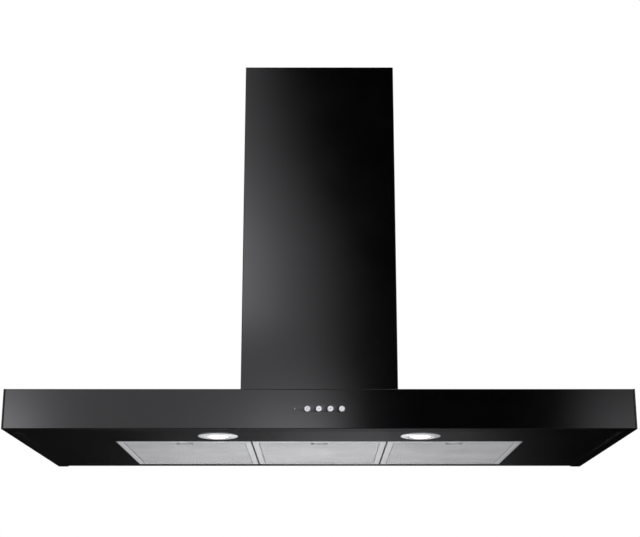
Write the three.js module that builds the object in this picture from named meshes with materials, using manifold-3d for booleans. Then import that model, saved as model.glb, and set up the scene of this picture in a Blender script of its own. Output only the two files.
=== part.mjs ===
// A wall-mounted T-shaped range hood: a flat box canopy with three grease filters, two lamps and four push
// buttons, a telescopic chimney cover, and inside it a centrifugal blower with a non-return damper.
// Millimetres, +Z up. The wall is the plane y = 0 and the front faces -Y. The origin lies on the wall face
// of the mounting plate, midway between its two keyholes.
import * as THREE from "three";
import { mergeVertices } from "three/addons/utils/BufferGeometryUtils.js";
import Module from "manifold-3d";

const wasm = await Module();
wasm.setup();

// ---------------------------------------------------------------- driving dimensions
const sheet = 1.2; // painted steel sheet
const gap = 0.3; // between two pieces that touch
const hangHeight = 250; // keyholes above the canopy's lower rim
const canopy = { width: 1100, depth: 500, height: 70, rim: 20, flange: 20, rearFlange: 16 };
const hem = { thick: 3.6, depth: 12 }; // the side panels' folded front edges
const filter = { width: 248.7, depth: 310, thick: 9.5, border: 12, groove: 6, meshThick: 7.5, spacing: 2.3 };
const filterBay = { rearMargin: 31, rearGap: 2, frontGap: 1.5, sideGap: 1.5, lipHeight: 12.5 };
const tab = { width: 20, reach: 8, thick: 1.5, offset: 70 };
const latch = { width: 20, depth: 9, tongueWidth: 14, tongueThick: 1.8, travel: 5, lift: 0.6, running: 0.4 };
const latchBlock = { bottom: 0.6, top: 7, pullDepth: 2.5, pullDrop: 1.2 }; // from the filter's lower face
const tray = { width: 34, depth: 28, wall: 1.2 };
const lamp = {
  offsetX: 182,
  fromFront: 91,
  radius: 36,
  glassRadius: 21.6,
  neckRadius: 30.8,
  dome: 2.6,
  holeEase: 0.7,
};
const button = {
  radius: 5,
  pitch: 20,
  firstX: -20.5,
  proud: 1.4,
  travel: 1.5,
  clearance: 0.4,
  flange: 1.4,
  stem: 1.8,
};
const indicator = { radius: 1.5, spacing: 22, proud: 0.4 };
const controlBox = { width: 124, height: 46, depth: 28.5, wall: 2 };
const board = { width: 112, height: 38, thick: 1.6, fromFascia: 12.8, switchSize: 6, switchDepth: 4 };
const post = { radius: 3, fromSide: 10, fromTop: 8 };
const chimney = { width: 304, depth: 270, height: 719.7, returnWidth: 15 };
const inner = { clearance: 1.8, height: 408, topDrop: 2, returnWidth: 13.2 };
const slots = { count: 5, length: 70, height: 5, pitch: 14, fromTop: 60 };
const motorBox = { width: 262, depth: 238.9, height: 299.7, flange: 13 };
const plate = { thick: 2, above: 30, keyholeX: 95, headRadius: 6, shankRadius: 3, rise: 12, lockingZ: 30 };
const throat = { width: 230, depth: 200, rearMargin: 25 };
const fan = { centreZ: 180, radius: 70, halfWidth: 66, blades: 32, bladeDepth: 14, bladeThick: 1.4, turn: 28 };
const wheel = { ringDepth: 4, discX: [8.5, 11.5], hubRadius: 10, hubX: [3.5, 17.5] };
const scroll = { endRadius: 108, tongueRadius: 80, sweep: 290, halfWidth: 77, wall: 2, inlet: 60, chute: 66 };
const motor = { radius: 40, length: 78, frontX: -8, boss: 12, boreDepth: 14, shaftRadius: 4, shaftEnd: 19 };
const spider = { thick: 2.7, hubRadius: 30, armHalf: 7, reach: 72, foot: 8 };
const capacitor = { x: 105, fromFront: 26, radius: 14, bottom: 10, top: 70, clip: [32, 44] };
const collar = {
  radius: 75,
  wall: 2,
  height: 60,
  bead: 1.2,
  flange: 10,
  flangeThick: 1.5,
  seat: 3.5,
  seatThick: 2.2,
};
const damper = { pinRadius: 1.5, thick: 1.5, edge: 4, knuckle: 15, knuckleRadius: 3.2, running: 0.4 };
const terminal = { width: 56, depth: 40, height: 30, wall: 2, lid: 2.5, lip: 3, fromSide: 3, fromFront: 4 };
const gland = { fromSide: 22, up: 17, thread: 6, nut: 9, cap: 7.5, bore: 4, nutDepth: 6, capDepth: 15 };
const transformer = { x: [-300, -235], fromFront: [30, 75], height: 25, ear: 9, earInset: 14, earThick: 2 };
const leadRadius = { lamp: 2.2, motor: 3.5 };
const bracket = { halfWeb: 133, thick: 2, height: 40, legDepth: 32, padDepth: 50, fromTop: 12, wallHoleX: 90 };
const screw = { fromWall: 60, hole: 2.2, shank: 1.9, length: 11, head: 4.2, headThick: 1.1 };
const foot = { thick: 1.7, leg: 25, seat: 17, inset: 40 };
const wallHole = 3; // radius

// ---------------------------------------------------------------- places worked out from them
const halfWidth = canopy.width / 2;
const frontY = -canopy.depth;
const fasciaBackY = frontY + sheet;
const topZ = canopy.height;
const topSheetZ = topZ - sheet; // underside of the top panel
const panelZ = sheet + gap; // the underside panel rests on the side rims
const panelTopZ = panelZ + sheet;
const innerFlangeZ = panelTopZ + gap;
const bayRearY = -filterBay.rearMargin;
const filterRearY = bayRearY - filterBay.rearGap;
const filterFrontY = filterRearY - filter.depth;
const bayFrontY = filterFrontY - filterBay.frontGap;
const filterPitch = filter.width + filter.spacing;
const bayHalfWidth = filterPitch + filter.width / 2 + filterBay.sideGap;
const filterZ = panelZ - 0.5;
const lampY = frontY + lamp.fromFront;
const chimneyBaseZ = topZ + gap;
const chimneyTopZ = chimneyBaseZ + chimney.height;
const outletY = -(plate.thick + gap + motorBox.depth / 2);
const motorBoxTopZ = chimneyBaseZ + motorBox.height;
const collarZ = motorBoxTopZ + gap;
const pinZ = collarZ + collar.seatThick + gap + damper.thick / 2;
const buttonZ = canopy.height / 2;
const boardY = fasciaBackY + board.fromFascia;

// ---------------------------------------------------------------- solids
function solidOf(geometry) {
  const bare = geometry.index ? geometry.toNonIndexed() : geometry.clone();
  bare.deleteAttribute("normal");
  bare.deleteAttribute("uv");
  const merged = mergeVertices(bare, 1e-4);
  const corners = merged.index.array;
  const faces = [];
  for (let i = 0; i < corners.length; i += 3) {
    const [a, b, c] = [corners[i], corners[i + 1], corners[i + 2]];
    if (a !== b && b !== c && c !== a) faces.push(a, b, c);
  }
  return new wasm.Manifold(
    new wasm.Mesh({
      numProp: 3,
      vertProperties: merged.attributes.position.array,
      triVerts: new Uint32Array(faces),
    }),
  );
}

function geometryOf(solid) {
  const mesh = solid.getMesh();
  return new THREE.BufferGeometry()
    .setAttribute("position", new THREE.BufferAttribute(new Float32Array(mesh.vertProperties), 3))
    .setIndex(new THREE.BufferAttribute(new Uint32Array(mesh.triVerts), 1));
}

const join = (...pieces) => pieces.reduce((whole, piece) => whole.add(piece));
const cut = (whole, ...holes) => holes.reduce((rest, hole) => rest.subtract(hole), whole);

// A block between two x, two y and two z values.
function block([x0, x1], [y0, y1], [z0, z1]) {
  const box = new THREE.BoxGeometry(x1 - x0, y1 - y0, z1 - z0);
  return solidOf(box.translate((x0 + x1) / 2, (y0 + y1) / 2, (z0 + z1) / 2));
}

// The same block mirrored to the side that sign names, for x values given on the right.
const sided = (sign, [x0, x1], ys, zs) => block(sign > 0 ? [x0, x1] : [-x1, -x0], ys, zs);

// A round bar along an axis, "x", "y" or "z", from one value to another, centred on the other two coordinates.
function bar(axis, radius, [from, to], [p, q], sides = 24) {
  const rod = new THREE.CylinderGeometry(radius, radius, to - from, sides);
  const middle = (from + to) / 2;
  if (axis === "x") return solidOf(rod.rotateZ(Math.PI / 2).translate(middle, p, q));
  if (axis === "y") return solidOf(rod.translate(p, middle, q));
  return solidOf(rod.rotateX(Math.PI / 2).translate(p, q, middle));
}

// A piece turned about the z axis from [radius, z] points, a closed loop or a line from axis to axis.
function turned(profile, sides = 36) {
  const onAxis = profile[0][0] === 0;
  const points = (onAxis ? profile : [...profile, profile[0]]).map(([r, z]) => new THREE.Vector2(r, z));
  const made = solidOf(new THREE.LatheGeometry(points, sides).rotateX(Math.PI / 2));
  return made.volume() > 0 ? made : turned([...profile].reverse(), sides);
}

// An outline in the y-z plane, extruded along x.
function extrudedX(outline, [from, to]) {
  const shape = new THREE.Shape(outline.map(([y, z]) => new THREE.Vector2(y, z)));
  const geometry = new THREE.ExtrudeGeometry(shape, { depth: to - from, bevelEnabled: false });
  const turn = new THREE.Matrix4().makeBasis(
    new THREE.Vector3(0, 1, 0),
    new THREE.Vector3(0, 0, 1),
    new THREE.Vector3(1, 0, 0),
  );
  return solidOf(geometry.applyMatrix4(turn).translate(from, 0, 0));
}

// A cable of eight sides along a smooth curve through the points.
function cable(points, radius, steps) {
  const section = new THREE.Shape(
    Array.from({ length: 8 }, (_, i) => {
      const angle = (i * Math.PI) / 4;
      return new THREE.Vector2(radius * Math.cos(angle), radius * Math.sin(angle));
    }),
  );
  const path = new THREE.CatmullRomCurve3(points.map((p) => new THREE.Vector3(...p)));
  return solidOf(new THREE.ExtrudeGeometry(section, { steps, extrudePath: path, bevelEnabled: false }));
}

// ---------------------------------------------------------------- materials
const finish = (color, roughness, metalness) => new THREE.MeshStandardMaterial({ color, roughness, metalness });
const blackPaint = finish(0x0b0b0d, 0.32, 0.1);
const zincSteel = finish(0xa9adb0, 0.4, 0.9);
const aluminium = finish(0xc6c8c9, 0.35, 0.9);
const meshMetal = finish(0xb4b6b7, 0.5, 0.85);
const chrome = finish(0xd8dadc, 0.12, 1);
const frostedGlass = finish(0xf6f6f2, 0.35, 0);
const clearGlass = finish(0xeef2f4, 0.08, 0);
const buttonPlastic = finish(0xdedde2, 0.3, 0.2);
const darkPlastic = finish(0x1d1e20, 0.5, 0);
const greyPlastic = finish(0x5f6367, 0.55, 0);
const boardGreen = finish(0x1f5a36, 0.5, 0);
const rubberBlack = finish(0x18181a, 0.8, 0);

const hood = new THREE.Group();
hood.position.z = -hangHeight;

function add(name, solid, material) {
  const piece = new THREE.Mesh(geometryOf(solid), material);
  piece.name = name;
  hood.add(piece);
}

// ---------------------------------------------------------------- canopy
function frontFascia() {
  const reach = halfWidth - hem.thick - gap;
  const returnReach = halfWidth - canopy.rim - gap;
  const flangeY = [frontY, frontY + canopy.flange];
  const holes = [0, 1, 2, 3].map((i) =>
    bar("y", button.radius + button.clearance, [frontY - 1, fasciaBackY + 1], [buttonX(i), buttonZ], 28),
  );
  return cut(
    join(
      block([-reach, reach], [frontY, fasciaBackY], [0, topZ]),
      block([-returnReach, returnReach], flangeY, [innerFlangeZ, innerFlangeZ + sheet]),
      block([-returnReach, returnReach], flangeY, [topSheetZ - gap - sheet, topSheetZ - gap]),
    ),
    ...holes,
    bar("y", indicator.radius + gap, [frontY - 1, fasciaBackY + 1], [indicatorX(), buttonZ], 16),
  );
}

function buttonX(index) {
  return button.firstX + index * button.pitch;
}

function indicatorX() {
  return button.firstX - indicator.spacing;
}

function sidePanel(sign) {
  const wall = halfWidth - sheet;
  const rimEdge = halfWidth - canopy.rim;
  const behindFascia = [fasciaBackY + gap, 0];
  const overlap = wall + sheet / 2; // the returns run into the wall
  return join(
    sided(sign, [wall, halfWidth], [frontY, 0], [0, topZ]),
    sided(sign, [halfWidth - hem.thick, halfWidth], [frontY, frontY + hem.depth], [0, topZ]),
    sided(sign, [rimEdge, overlap], behindFascia, [0, sheet]),
    sided(sign, [rimEdge, overlap], behindFascia, [topSheetZ - gap - sheet, topSheetZ - gap]),
    sided(sign, [rimEdge, overlap], [-sheet, 0], [innerFlangeZ, topSheetZ - gap]),
  );
}

// A panel from the fascia to the wall, notched at its front corners round the side panels' hems.
function flatPanel(z) {
  const reach = halfWidth - sheet - gap;
  const hemX = halfWidth - hem.thick - gap;
  const notchY = [frontY, frontY + hem.depth + gap];
  const notch = (sign) => sided(sign, [hemX, halfWidth], notchY, [z[0] - 1, z[1] + 1]);
  return cut(block([-reach, reach], [fasciaBackY + gap, 0], z), notch(-1), notch(1));
}

function topPanel() {
  const hole = [-throat.rearMargin - throat.depth, -throat.rearMargin];
  return cut(
    flatPanel([topSheetZ, topZ]),
    block([-throat.width / 2, throat.width / 2], hole, [topSheetZ - 1, topZ + 1]),
  );
}

function rearPanel() {
  const reach = halfWidth - canopy.rim - gap;
  const [low, high] = [innerFlangeZ, topSheetZ - gap];
  return join(
    block([-reach, reach], [-sheet, 0], [low, high]),
    block([-reach, reach], [-canopy.rearFlange, 0], [low, low + sheet]),
    block([-reach, reach], [-canopy.rearFlange, 0], [high - sheet, high]),
  );
}

function undersidePanel() {
  const bayY = [bayFrontY, bayRearY];
  const lipZ = [panelZ, panelZ + filterBay.lipHeight];
  const lip = (sign) => sided(sign, [bayHalfWidth, bayHalfWidth + sheet], bayY, lipZ);
  return cut(
    join(
      cut(
        flatPanel([panelZ, panelTopZ]),
        block([-bayHalfWidth, bayHalfWidth], bayY, [panelZ - 1, panelTopZ + 1]),
      ),
      lip(-1),
      lip(1),
    ),
    ...[-1, 1].map((sign) =>
      bar("z", lamp.neckRadius + lamp.holeEase, [panelZ - 1, panelTopZ + 1], [sign * lamp.offsetX, lampY], 36),
    ),
  );
}

// ---------------------------------------------------------------- filters
// Each filter is made about its own centre line x = 0 and then moved sideways.
function filterFrame() {
  const half = filter.width / 2;
  const z = [filterZ, filterZ + filter.thick];
  const meshLift = (filter.thick - filter.meshThick) / 2;
  const inside = half - filter.border;
  const grooveEdge = inside + filter.groove + gap;
  const tabZ = panelTopZ + 0.4;
  const tabs = [-1, 1].map((sign) =>
    block(
      [sign * tab.offset - tab.width / 2, sign * tab.offset + tab.width / 2],
      [filterRearY - 2, filterRearY + tab.reach],
      [tabZ, tabZ + tab.thick],
    ),
  );
  const ring = cut(
    block([-half, half], [filterFrontY, filterRearY], z),
    block([-inside, inside], [filterFrontY + filter.border, filterRearY - filter.border], [z[0] - 1, z[1] + 1]),
    block(
      [-grooveEdge, grooveEdge],
      [filterFrontY + filter.border - filter.groove - gap, filterRearY - filter.border + filter.groove + gap],
      [z[0] + meshLift - gap, z[1] - meshLift + gap],
    ),
  );
  return cut(join(ring, ...tabs), tongueSlot([filterFrontY - 1, filterFrontY + filter.border + 1]));
}

// The opening in which the latch's tongue slides.
function tongueSlot(y) {
  const half = latch.tongueWidth / 2 + 0.5;
  const low = panelTopZ + latch.lift - latch.running;
  return block([-half, half], y, [low, low + latch.tongueThick + 2 * latch.running]);
}

function filterMesh() {
  const half = filter.width / 2 - filter.border + filter.groove;
  const front = filterFrontY + filter.border - filter.groove;
  const lift = (filter.thick - filter.meshThick) / 2;
  const bite = tray.width / 2 + gap;
  const rear = filterRearY - filter.border + filter.groove;
  return cut(
    block([-half, half], [front, rear], [filterZ + lift, filterZ + lift + filter.meshThick]),
    block([-bite, bite], [front - 1, trayFrontY() + tray.depth + gap], [filterZ - 1, filterZ + filter.thick + 1]),
  );
}

function trayFrontY() {
  return filterFrontY + filter.border + gap;
}

// The finger recess: a shallow tray that opens downwards, with a slot in front for the latch's tongue.
function latchTray() {
  const half = tray.width / 2;
  const front = trayFrontY();
  const z = [filterZ, filterZ + filter.thick];
  return cut(
    block([-half, half], [front, front + tray.depth], z),
    block(
      [-half + tray.wall, half - tray.wall],
      [front + tray.wall, front + tray.depth - tray.wall],
      [z[0] - 1, z[1] - tray.wall],
    ),
    tongueSlot([front - 1, front + tray.wall + 1]),
  );
}

// The latch slides forwards so that its tongue reaches over the panel's edge; it is drawn back at rest.
function filterLatch() {
  const z = panelTopZ + latch.lift;
  const blockFront = trayFrontY() + tray.wall + latch.travel + latch.running;
  const blockRear = blockFront + latch.depth;
  const top = filterZ + latchBlock.top;
  const half = latch.width / 2;
  return join(
    block(
      [-latch.tongueWidth / 2, latch.tongueWidth / 2],
      [filterFrontY + latch.running, blockFront + 2],
      [z, z + latch.tongueThick],
    ),
    block([-half, half], [blockFront, blockRear], [filterZ + latchBlock.bottom, top]),
    block([-half, half], [blockRear - latchBlock.pullDepth, blockRear], [filterZ - latchBlock.pullDrop, top]),
  );
}

// ---------------------------------------------------------------- lamps
// Made about x = y = 0 and then moved to each lamp's place.
const trimInner = lamp.glassRadius + 0.4;

const lampTrim = () =>
  turned([
    [lamp.radius, sheet],
    [lamp.radius, 0.4],
    [lamp.radius - 1, -0.5],
    [lamp.radius - 2.5, -0.8],
    [lamp.radius - 4.5, -0.8],
    [trimInner, 1.4],
    [trimInner, 2.9],
    [lamp.neckRadius - sheet, 2.9],
    [lamp.neckRadius - sheet, 14],
    [lamp.neckRadius, 14],
    [lamp.neckRadius, sheet],
  ]);

function lampGlass() {
  const r = lamp.glassRadius;
  const shelf = 3.2;
  const crown = (lift) =>
    [0, 0.3, 0.55, 0.77, 0.93].map((t) => [r * t, shelf - (shelf + lamp.dome) * Math.sqrt(1 - t * t) + lift]);
  const outer = crown(0);
  const inside = crown(2).map(([x, z]) => [x * 0.93, z]);
  const rim = [[r, shelf - 0.6], [r, shelf], [r + 5, shelf], [r + 5, shelf + 2], [r * 0.9, shelf + 2]];
  return turned([...outer, ...rim, ...inside.reverse()], 32);
}

const lampCan = () => {
  const r = lamp.neckRadius - sheet - gap;
  return turned(
    [
      [0, 36],
      [12, 36],
      [26, 30],
      [r, 14.5],
      [r, 5.6],
      [r - sheet, 5.6],
      [r - sheet, 14.3],
      [25, 29],
      [11.5, 34.8],
      [0, 34.8],
    ],
    28,
  );
};

const lampBulb = () =>
  turned(
    [
      [0, 12],
      [3, 12.8],
      [5.2, 15],
      [5.6, 19],
      [5.2, 25],
      [4.4, 28],
      [7, 28.4],
      [7, 34.4],
      [0, 34.4],
    ],
    20,
  );

// ---------------------------------------------------------------- controls
function pushButton(index) {
  const at = [buttonX(index), buttonZ];
  const flange = fasciaBackY + gap + 0.1;
  return join(
    bar("y", button.radius, [frontY - button.proud, flange + 0.5], at, 28),
    bar("y", button.radius + button.flange, [flange, flange + 1], at, 28),
    bar("y", button.stem, [flange + 0.5, boardY - board.switchDepth - button.travel - gap], at, 12),
  );
}

function indicatorLens() {
  const at = [indicatorX(), buttonZ];
  return join(
    bar("y", indicator.radius, [frontY - indicator.proud, boardY - board.switchDepth / 2], at, 16),
    bar("y", indicator.radius + 1, [fasciaBackY + gap, fasciaBackY + gap + 1], at, 16),
  );
}

function controlHousing() {
  const [halfX, halfZ] = [controlBox.width / 2, controlBox.height / 2];
  const front = fasciaBackY + gap;
  const back = front + controlBox.depth;
  const w = controlBox.wall;
  const postY = [boardY + board.thick + gap, back - w / 2];
  const posts = [-1, 1].flatMap((sx) =>
    [-1, 1].map((sz) => {
      const at = [sx * (halfX - post.fromSide), buttonZ + sz * (halfZ - post.fromTop)];
      return bar("y", post.radius, postY, at, 12);
    }),
  );
  return join(
    cut(
      block([-halfX, halfX], [front, back], [buttonZ - halfZ, buttonZ + halfZ]),
      block([-halfX + w, halfX - w], [front - 1, back - w], [buttonZ - halfZ + w, buttonZ + halfZ - w]),
    ),
    ...posts,
  );
}

function controlBoard() {
  const half = board.switchSize / 2;
  const switches = [0, 1, 2, 3].map((i) =>
    block(
      [buttonX(i) - half, buttonX(i) + half],
      [boardY - board.switchDepth, boardY + 0.5],
      [buttonZ - half, buttonZ + half],
    ),
  );
  return join(
    block(
      [-board.width / 2, board.width / 2],
      [boardY, boardY + board.thick],
      [buttonZ - board.height / 2, buttonZ + board.height / 2],
    ),
    ...switches,
  );
}

// ---------------------------------------------------------------- chimney
// A cover open to the wall: a front, two sides and two narrow returns along the wall.
function chimneyCover(half, frontFace, rearFace, returnWidth, [z0, z1]) {
  return join(
    block([-half, half], [frontFace, frontFace + sheet], [z0, z1]),
    ...[-1, 1].flatMap((sign) => [
      sided(sign, [half - sheet, half], [frontFace, rearFace], [z0, z1]),
      sided(sign, [half - returnWidth, half], [rearFace - sheet, rearFace], [z0, z1]),
    ]),
  );
}

const innerHalf = chimney.width / 2 - sheet - inner.clearance;
const innerTopZ = chimneyTopZ - inner.topDrop;

const chimneyLower = () =>
  chimneyCover(chimney.width / 2, -chimney.depth, 0, chimney.returnWidth, [chimneyBaseZ, chimneyTopZ]);

const screwPlace = [-screw.fromWall, innerTopZ - bracket.fromTop - bracket.height / 2];

function chimneyUpper() {
  const front = -chimney.depth + sheet + inner.clearance;
  const cover = chimneyCover(innerHalf, front, -sheet - gap, inner.returnWidth, [
    innerTopZ - inner.height,
    innerTopZ,
  ]);
  const middleY = -chimney.depth / 2;
  const vents = Array.from({ length: slots.count }, (_, i) => {
    const z = innerTopZ - slots.fromTop - i * slots.pitch;
    return block([-innerHalf - 1, innerHalf + 1], [middleY - slots.length / 2, middleY + slots.length / 2], [
      z - slots.height,
      z,
    ]);
  });
  return cut(cover, ...vents, bar("x", screw.hole, [-innerHalf - 1, innerHalf + 1], screwPlace, 16));
}

function chimneyBracket() {
  const z = [innerTopZ - bracket.fromTop - bracket.height, innerTopZ - bracket.fromTop];
  const { halfWeb, thick, legDepth, padDepth } = bracket;
  const padEdge = innerHalf - sheet - gap;
  const arms = [-1, 1].flatMap((sign) => [
    sided(sign, [halfWeb - thick, halfWeb], [-legDepth, 0], z),
    sided(sign, [halfWeb - thick, padEdge], [-legDepth, -legDepth + thick], z),
    sided(sign, [padEdge - thick, padEdge], [-legDepth + thick - padDepth, -legDepth + thick], z),
  ]);
  const wallHoles = [-1, 1].map((sign) =>
    bar("y", wallHole, [-thick - 1, 1], [sign * bracket.wallHoleX, (z[0] + z[1]) / 2], 16),
  );
  return cut(
    join(block([-halfWeb, halfWeb], [-thick, 0], z), ...arms),
    ...wallHoles,
    bar("x", screw.hole, [-padEdge - 1, -padEdge + thick + 1], screwPlace, 16),
    bar("x", screw.hole, [padEdge - thick - 1, padEdge + 1], screwPlace, 16),
  );
}

function bracketScrew(sign) {
  const head = innerHalf + gap;
  const shank = [head - screw.length, head + 0.5];
  const cap = [head, head + screw.headThick];
  const facing = ([a, b]) => (sign > 0 ? [a, b] : [-b, -a]);
  return join(
    bar("x", screw.shank, facing(shank), screwPlace, 12),
    bar("x", screw.head, facing(cap), screwPlace, 18),
  );
}

// The angle that the foot of the lower cover is held by.
function chimneyFoot(sign) {
  const outer = chimney.width / 2 - sheet - gap;
  const y = [-chimney.depth + foot.inset, -foot.inset];
  return join(
    sided(sign, [outer - foot.thick, outer], y, [chimneyBaseZ, chimneyBaseZ + foot.leg]),
    sided(sign, [outer - foot.seat, outer], y, [chimneyBaseZ, chimneyBaseZ + foot.thick]),
  );
}

// ---------------------------------------------------------------- blower
const boxFrontY = -(plate.thick + gap + motorBox.depth);
const boxRearY = -(plate.thick + gap);

function motorCase() {
  const half = motorBox.width / 2;
  const z = [chimneyBaseZ, motorBoxTopZ];
  const inside = half - sheet;
  const opening = half - motorBox.flange;
  return cut(
    block([-half, half], [boxFrontY, boxRearY], z),
    block([-inside, inside], [boxFrontY + sheet, boxRearY + 1], [z[0] + sheet, z[1] - sheet]),
    block([-opening, opening], [boxFrontY + motorBox.flange, boxRearY + 1], [z[0] - 1, z[0] + sheet + 1]),
    bar("z", collar.radius - collar.wall - collar.seat - 0.5, [z[1] - sheet - 1, z[1] + 1], [0, outletY], 48),
  );
}

function mountingPlate() {
  const half = motorBox.width / 2;
  const through = [-plate.thick - 1, 1];
  const keyholes = [-1, 1].flatMap((sign) => {
    const x = sign * plate.keyholeX;
    return [
      bar("y", plate.headRadius, through, [x, hangHeight], 20),
      block([x - plate.shankRadius, x + plate.shankRadius], through, [hangHeight, hangHeight + plate.rise]),
      bar("y", plate.shankRadius, through, [x, hangHeight + plate.rise], 16),
      bar("y", plate.shankRadius, through, [x, chimneyBaseZ + plate.lockingZ], 16),
    ];
  });
  return cut(block([-half, half], [-plate.thick, 0], [chimneyBaseZ, motorBoxTopZ + plate.above]), ...keyholes);
}

// The spiral of the blower housing, drawn in from its outer face by inset, with a chute up to the top.
function scrollOutline(inset, top) {
  const turns = 28;
  const spiral = Array.from({ length: turns + 1 }, (_, i) => {
    const share = i / turns;
    const angle = -THREE.MathUtils.degToRad(scroll.sweep * share);
    const radius = scroll.endRadius + (scroll.tongueRadius - scroll.endRadius) * share - inset;
    return [outletY + radius * Math.cos(angle), fan.centreZ + radius * Math.sin(angle)];
  });
  return [...spiral, [outletY - scroll.chute + inset, top], [outletY + scroll.chute - inset, top]];
}

function scrollHalf(sign) {
  const top = motorBoxTopZ - sheet - gap;
  const at = [outletY, fan.centreZ];
  const between = (a, b) => (sign > 0 ? [a, b] : [-b, -a]);
  return cut(
    extrudedX(scrollOutline(0, top), between(gap / 2, scroll.halfWidth)),
    extrudedX(scrollOutline(scroll.wall, top + 5), between(-1, scroll.halfWidth - scroll.wall)),
    bar("x", scroll.inlet, between(scroll.halfWidth - 5, scroll.halfWidth + 5), at, 36),
  );
}

function fanWheel() {
  const at = [outletY, fan.centreZ];
  const { ringDepth, discX, hubRadius, hubX } = wheel;
  const eye = fan.radius - fan.bladeDepth - 1;
  const ring = (x) => cut(bar("x", fan.radius, x, at, 40), bar("x", eye, [x[0] - 1, x[1] + 1], at, 40));
  const blades = Array.from({ length: fan.blades }, (_, i) => {
    const blade = new THREE.BoxGeometry(2 * fan.halfWidth - 4, fan.bladeThick, fan.bladeDepth - 0.6);
    blade.rotateX(THREE.MathUtils.degToRad(fan.turn));
    blade.translate(0, 0, fan.radius - fan.bladeDepth / 2 - 0.8);
    blade.rotateX((i * 2 * Math.PI) / fan.blades);
    return solidOf(blade.translate(0, at[0], at[1]));
  });
  const whole = join(
    ring([-fan.halfWidth, -fan.halfWidth + ringDepth]),
    ring([fan.halfWidth - ringDepth, fan.halfWidth]),
    bar("x", fan.radius - 2, discX, at, 40),
    bar("x", hubRadius, hubX, at, 20),
    ...blades,
  );
  return cut(whole, bar("x", motor.shaftRadius + gap, [hubX[0] - 1, hubX[1] + 1], at, 16));
}

function motorBody() {
  const at = [outletY, fan.centreZ];
  const rear = motor.frontX - motor.length;
  return cut(
    join(
      bar("x", motor.radius, [rear + 10, motor.frontX - 10], at, 28),
      bar("x", motor.radius - 5, [rear, motor.frontX - 4], at, 28),
      bar("x", motor.boss, [motor.frontX - 5, motor.frontX], at, 20),
    ),
    bar("x", motor.shaftRadius + gap, [motor.frontX - motor.boreDepth, motor.frontX + 1], at, 16),
  );
}

const motorShaft = () =>
  bar("x", motor.shaftRadius, [motor.frontX - motor.boreDepth + 1, motor.shaftEnd], [outletY, fan.centreZ], 16);

// The spider that carries the motor across the left-hand inlet.
function motorSpider() {
  const at = [outletY, fan.centreZ];
  const rear = motor.frontX - motor.length - gap;
  const x = [rear - spider.thick, rear];
  const armY = [-spider.armHalf, spider.armHalf];
  const arms = [0, 1, 2].map((i) => {
    const arm = join(
      block(x, armY, [0, spider.reach]),
      block([x[0], -scroll.halfWidth - gap], armY, [spider.reach - spider.foot, spider.reach]),
    );
    return arm.rotate([i * 120, 0, 0]).translate([0, ...at]);
  });
  return join(bar("x", spider.hubRadius, x, at, 28), ...arms);
}

const capacitorPlace = [capacitor.x, boxFrontY + capacitor.fromFront];

function runCapacitor() {
  const at = capacitorPlace;
  const up = (height) => chimneyBaseZ + height;
  const wallX = motorBox.width / 2 - sheet - gap;
  return join(
    bar("z", capacitor.radius, [up(capacitor.bottom), up(capacitor.top)], at, 20),
    block([at[0] + 4, wallX], [at[1] - 6, at[1] + 6], capacitor.clip.map(up)),
  );
}

// ---------------------------------------------------------------- outlet and damper
function outletCollar() {
  const { radius, wall, height, flange, flangeThick, seat, seatThick, bead } = collar;
  const z = (up) => collarZ + up;
  const tube = turned(
    [
      [radius - wall - seat, z(0)],
      [radius + flange, z(0)],
      [radius + flange, z(flangeThick)],
      [radius, z(flangeThick)],
      [radius, z(height - 16)],
      [radius + bead, z(height - 14)],
      [radius + bead, z(height - 11)],
      [radius, z(height - 9)],
      [radius, z(height)],
      [radius - wall, z(height)],
      [radius - wall, z(seatThick)],
      [radius - wall - seat, z(seatThick)],
    ],
    48,
  ).translate([0, outletY, 0]);
  const reach = radius + 5;
  return cut(tube, bar("y", damper.pinRadius + gap, [outletY - reach, outletY + reach], [0, pinZ], 16));
}

const damperPin = () =>
  bar("y", damper.pinRadius, [outletY - collar.radius - 2, outletY + collar.radius + 2], [0, pinZ], 12);

// Half a disc with two knuckles on the pin; the two flaps' knuckles stand between each other's.
function damperFlap(sign) {
  const radius = collar.radius - collar.wall - 1;
  const z = [pinZ - damper.thick / 2, pinZ + damper.thick / 2];
  const disc = bar("z", radius, z, [0, outletY], 48);
  const half = disc.intersect(
    sided(sign, [damper.edge, radius + 1], [outletY - radius - 1, outletY + radius + 1], [z[0] - 1, z[1] + 1]),
  );
  const starts = sign > 0 ? [-50, 10] : [-25, 35];
  const knuckles = starts.flatMap((start) => {
    const y = [outletY + start, outletY + start + damper.knuckle];
    return [bar("y", damper.knuckleRadius, y, [0, pinZ], 16), sided(sign, [0.5, damper.edge + 1], y, z)];
  });
  const bore = bar("y", damper.pinRadius + damper.running, [outletY - radius, outletY + radius], [0, pinZ], 16);
  return cut(join(half, ...knuckles), bore);
}

// ---------------------------------------------------------------- wiring
const terminalEdge = motorBox.width / 2 - terminal.fromSide;
const terminalX = [terminalEdge - terminal.width, terminalEdge];
const terminalY = [boxFrontY + terminal.fromFront, boxFrontY + terminal.fromFront + terminal.depth];
const terminalZ = [collarZ, collarZ + terminal.height];
const glandPlace = [terminalEdge - gland.fromSide, terminalZ[0] + gland.up];

function terminalTray() {
  const w = terminal.wall;
  const insideX = [terminalX[0] + w, terminalX[1] - w];
  const insideY = [terminalY[0] + w, terminalY[1] - w];
  return cut(
    block(terminalX, terminalY, terminalZ),
    block(insideX, insideY, [terminalZ[0] + w, terminalZ[1] + 1]),
    bar("y", gland.thread + gap, [terminalY[1] - w - 1, terminalY[1] + 1], glandPlace, 20),
  );
}

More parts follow.
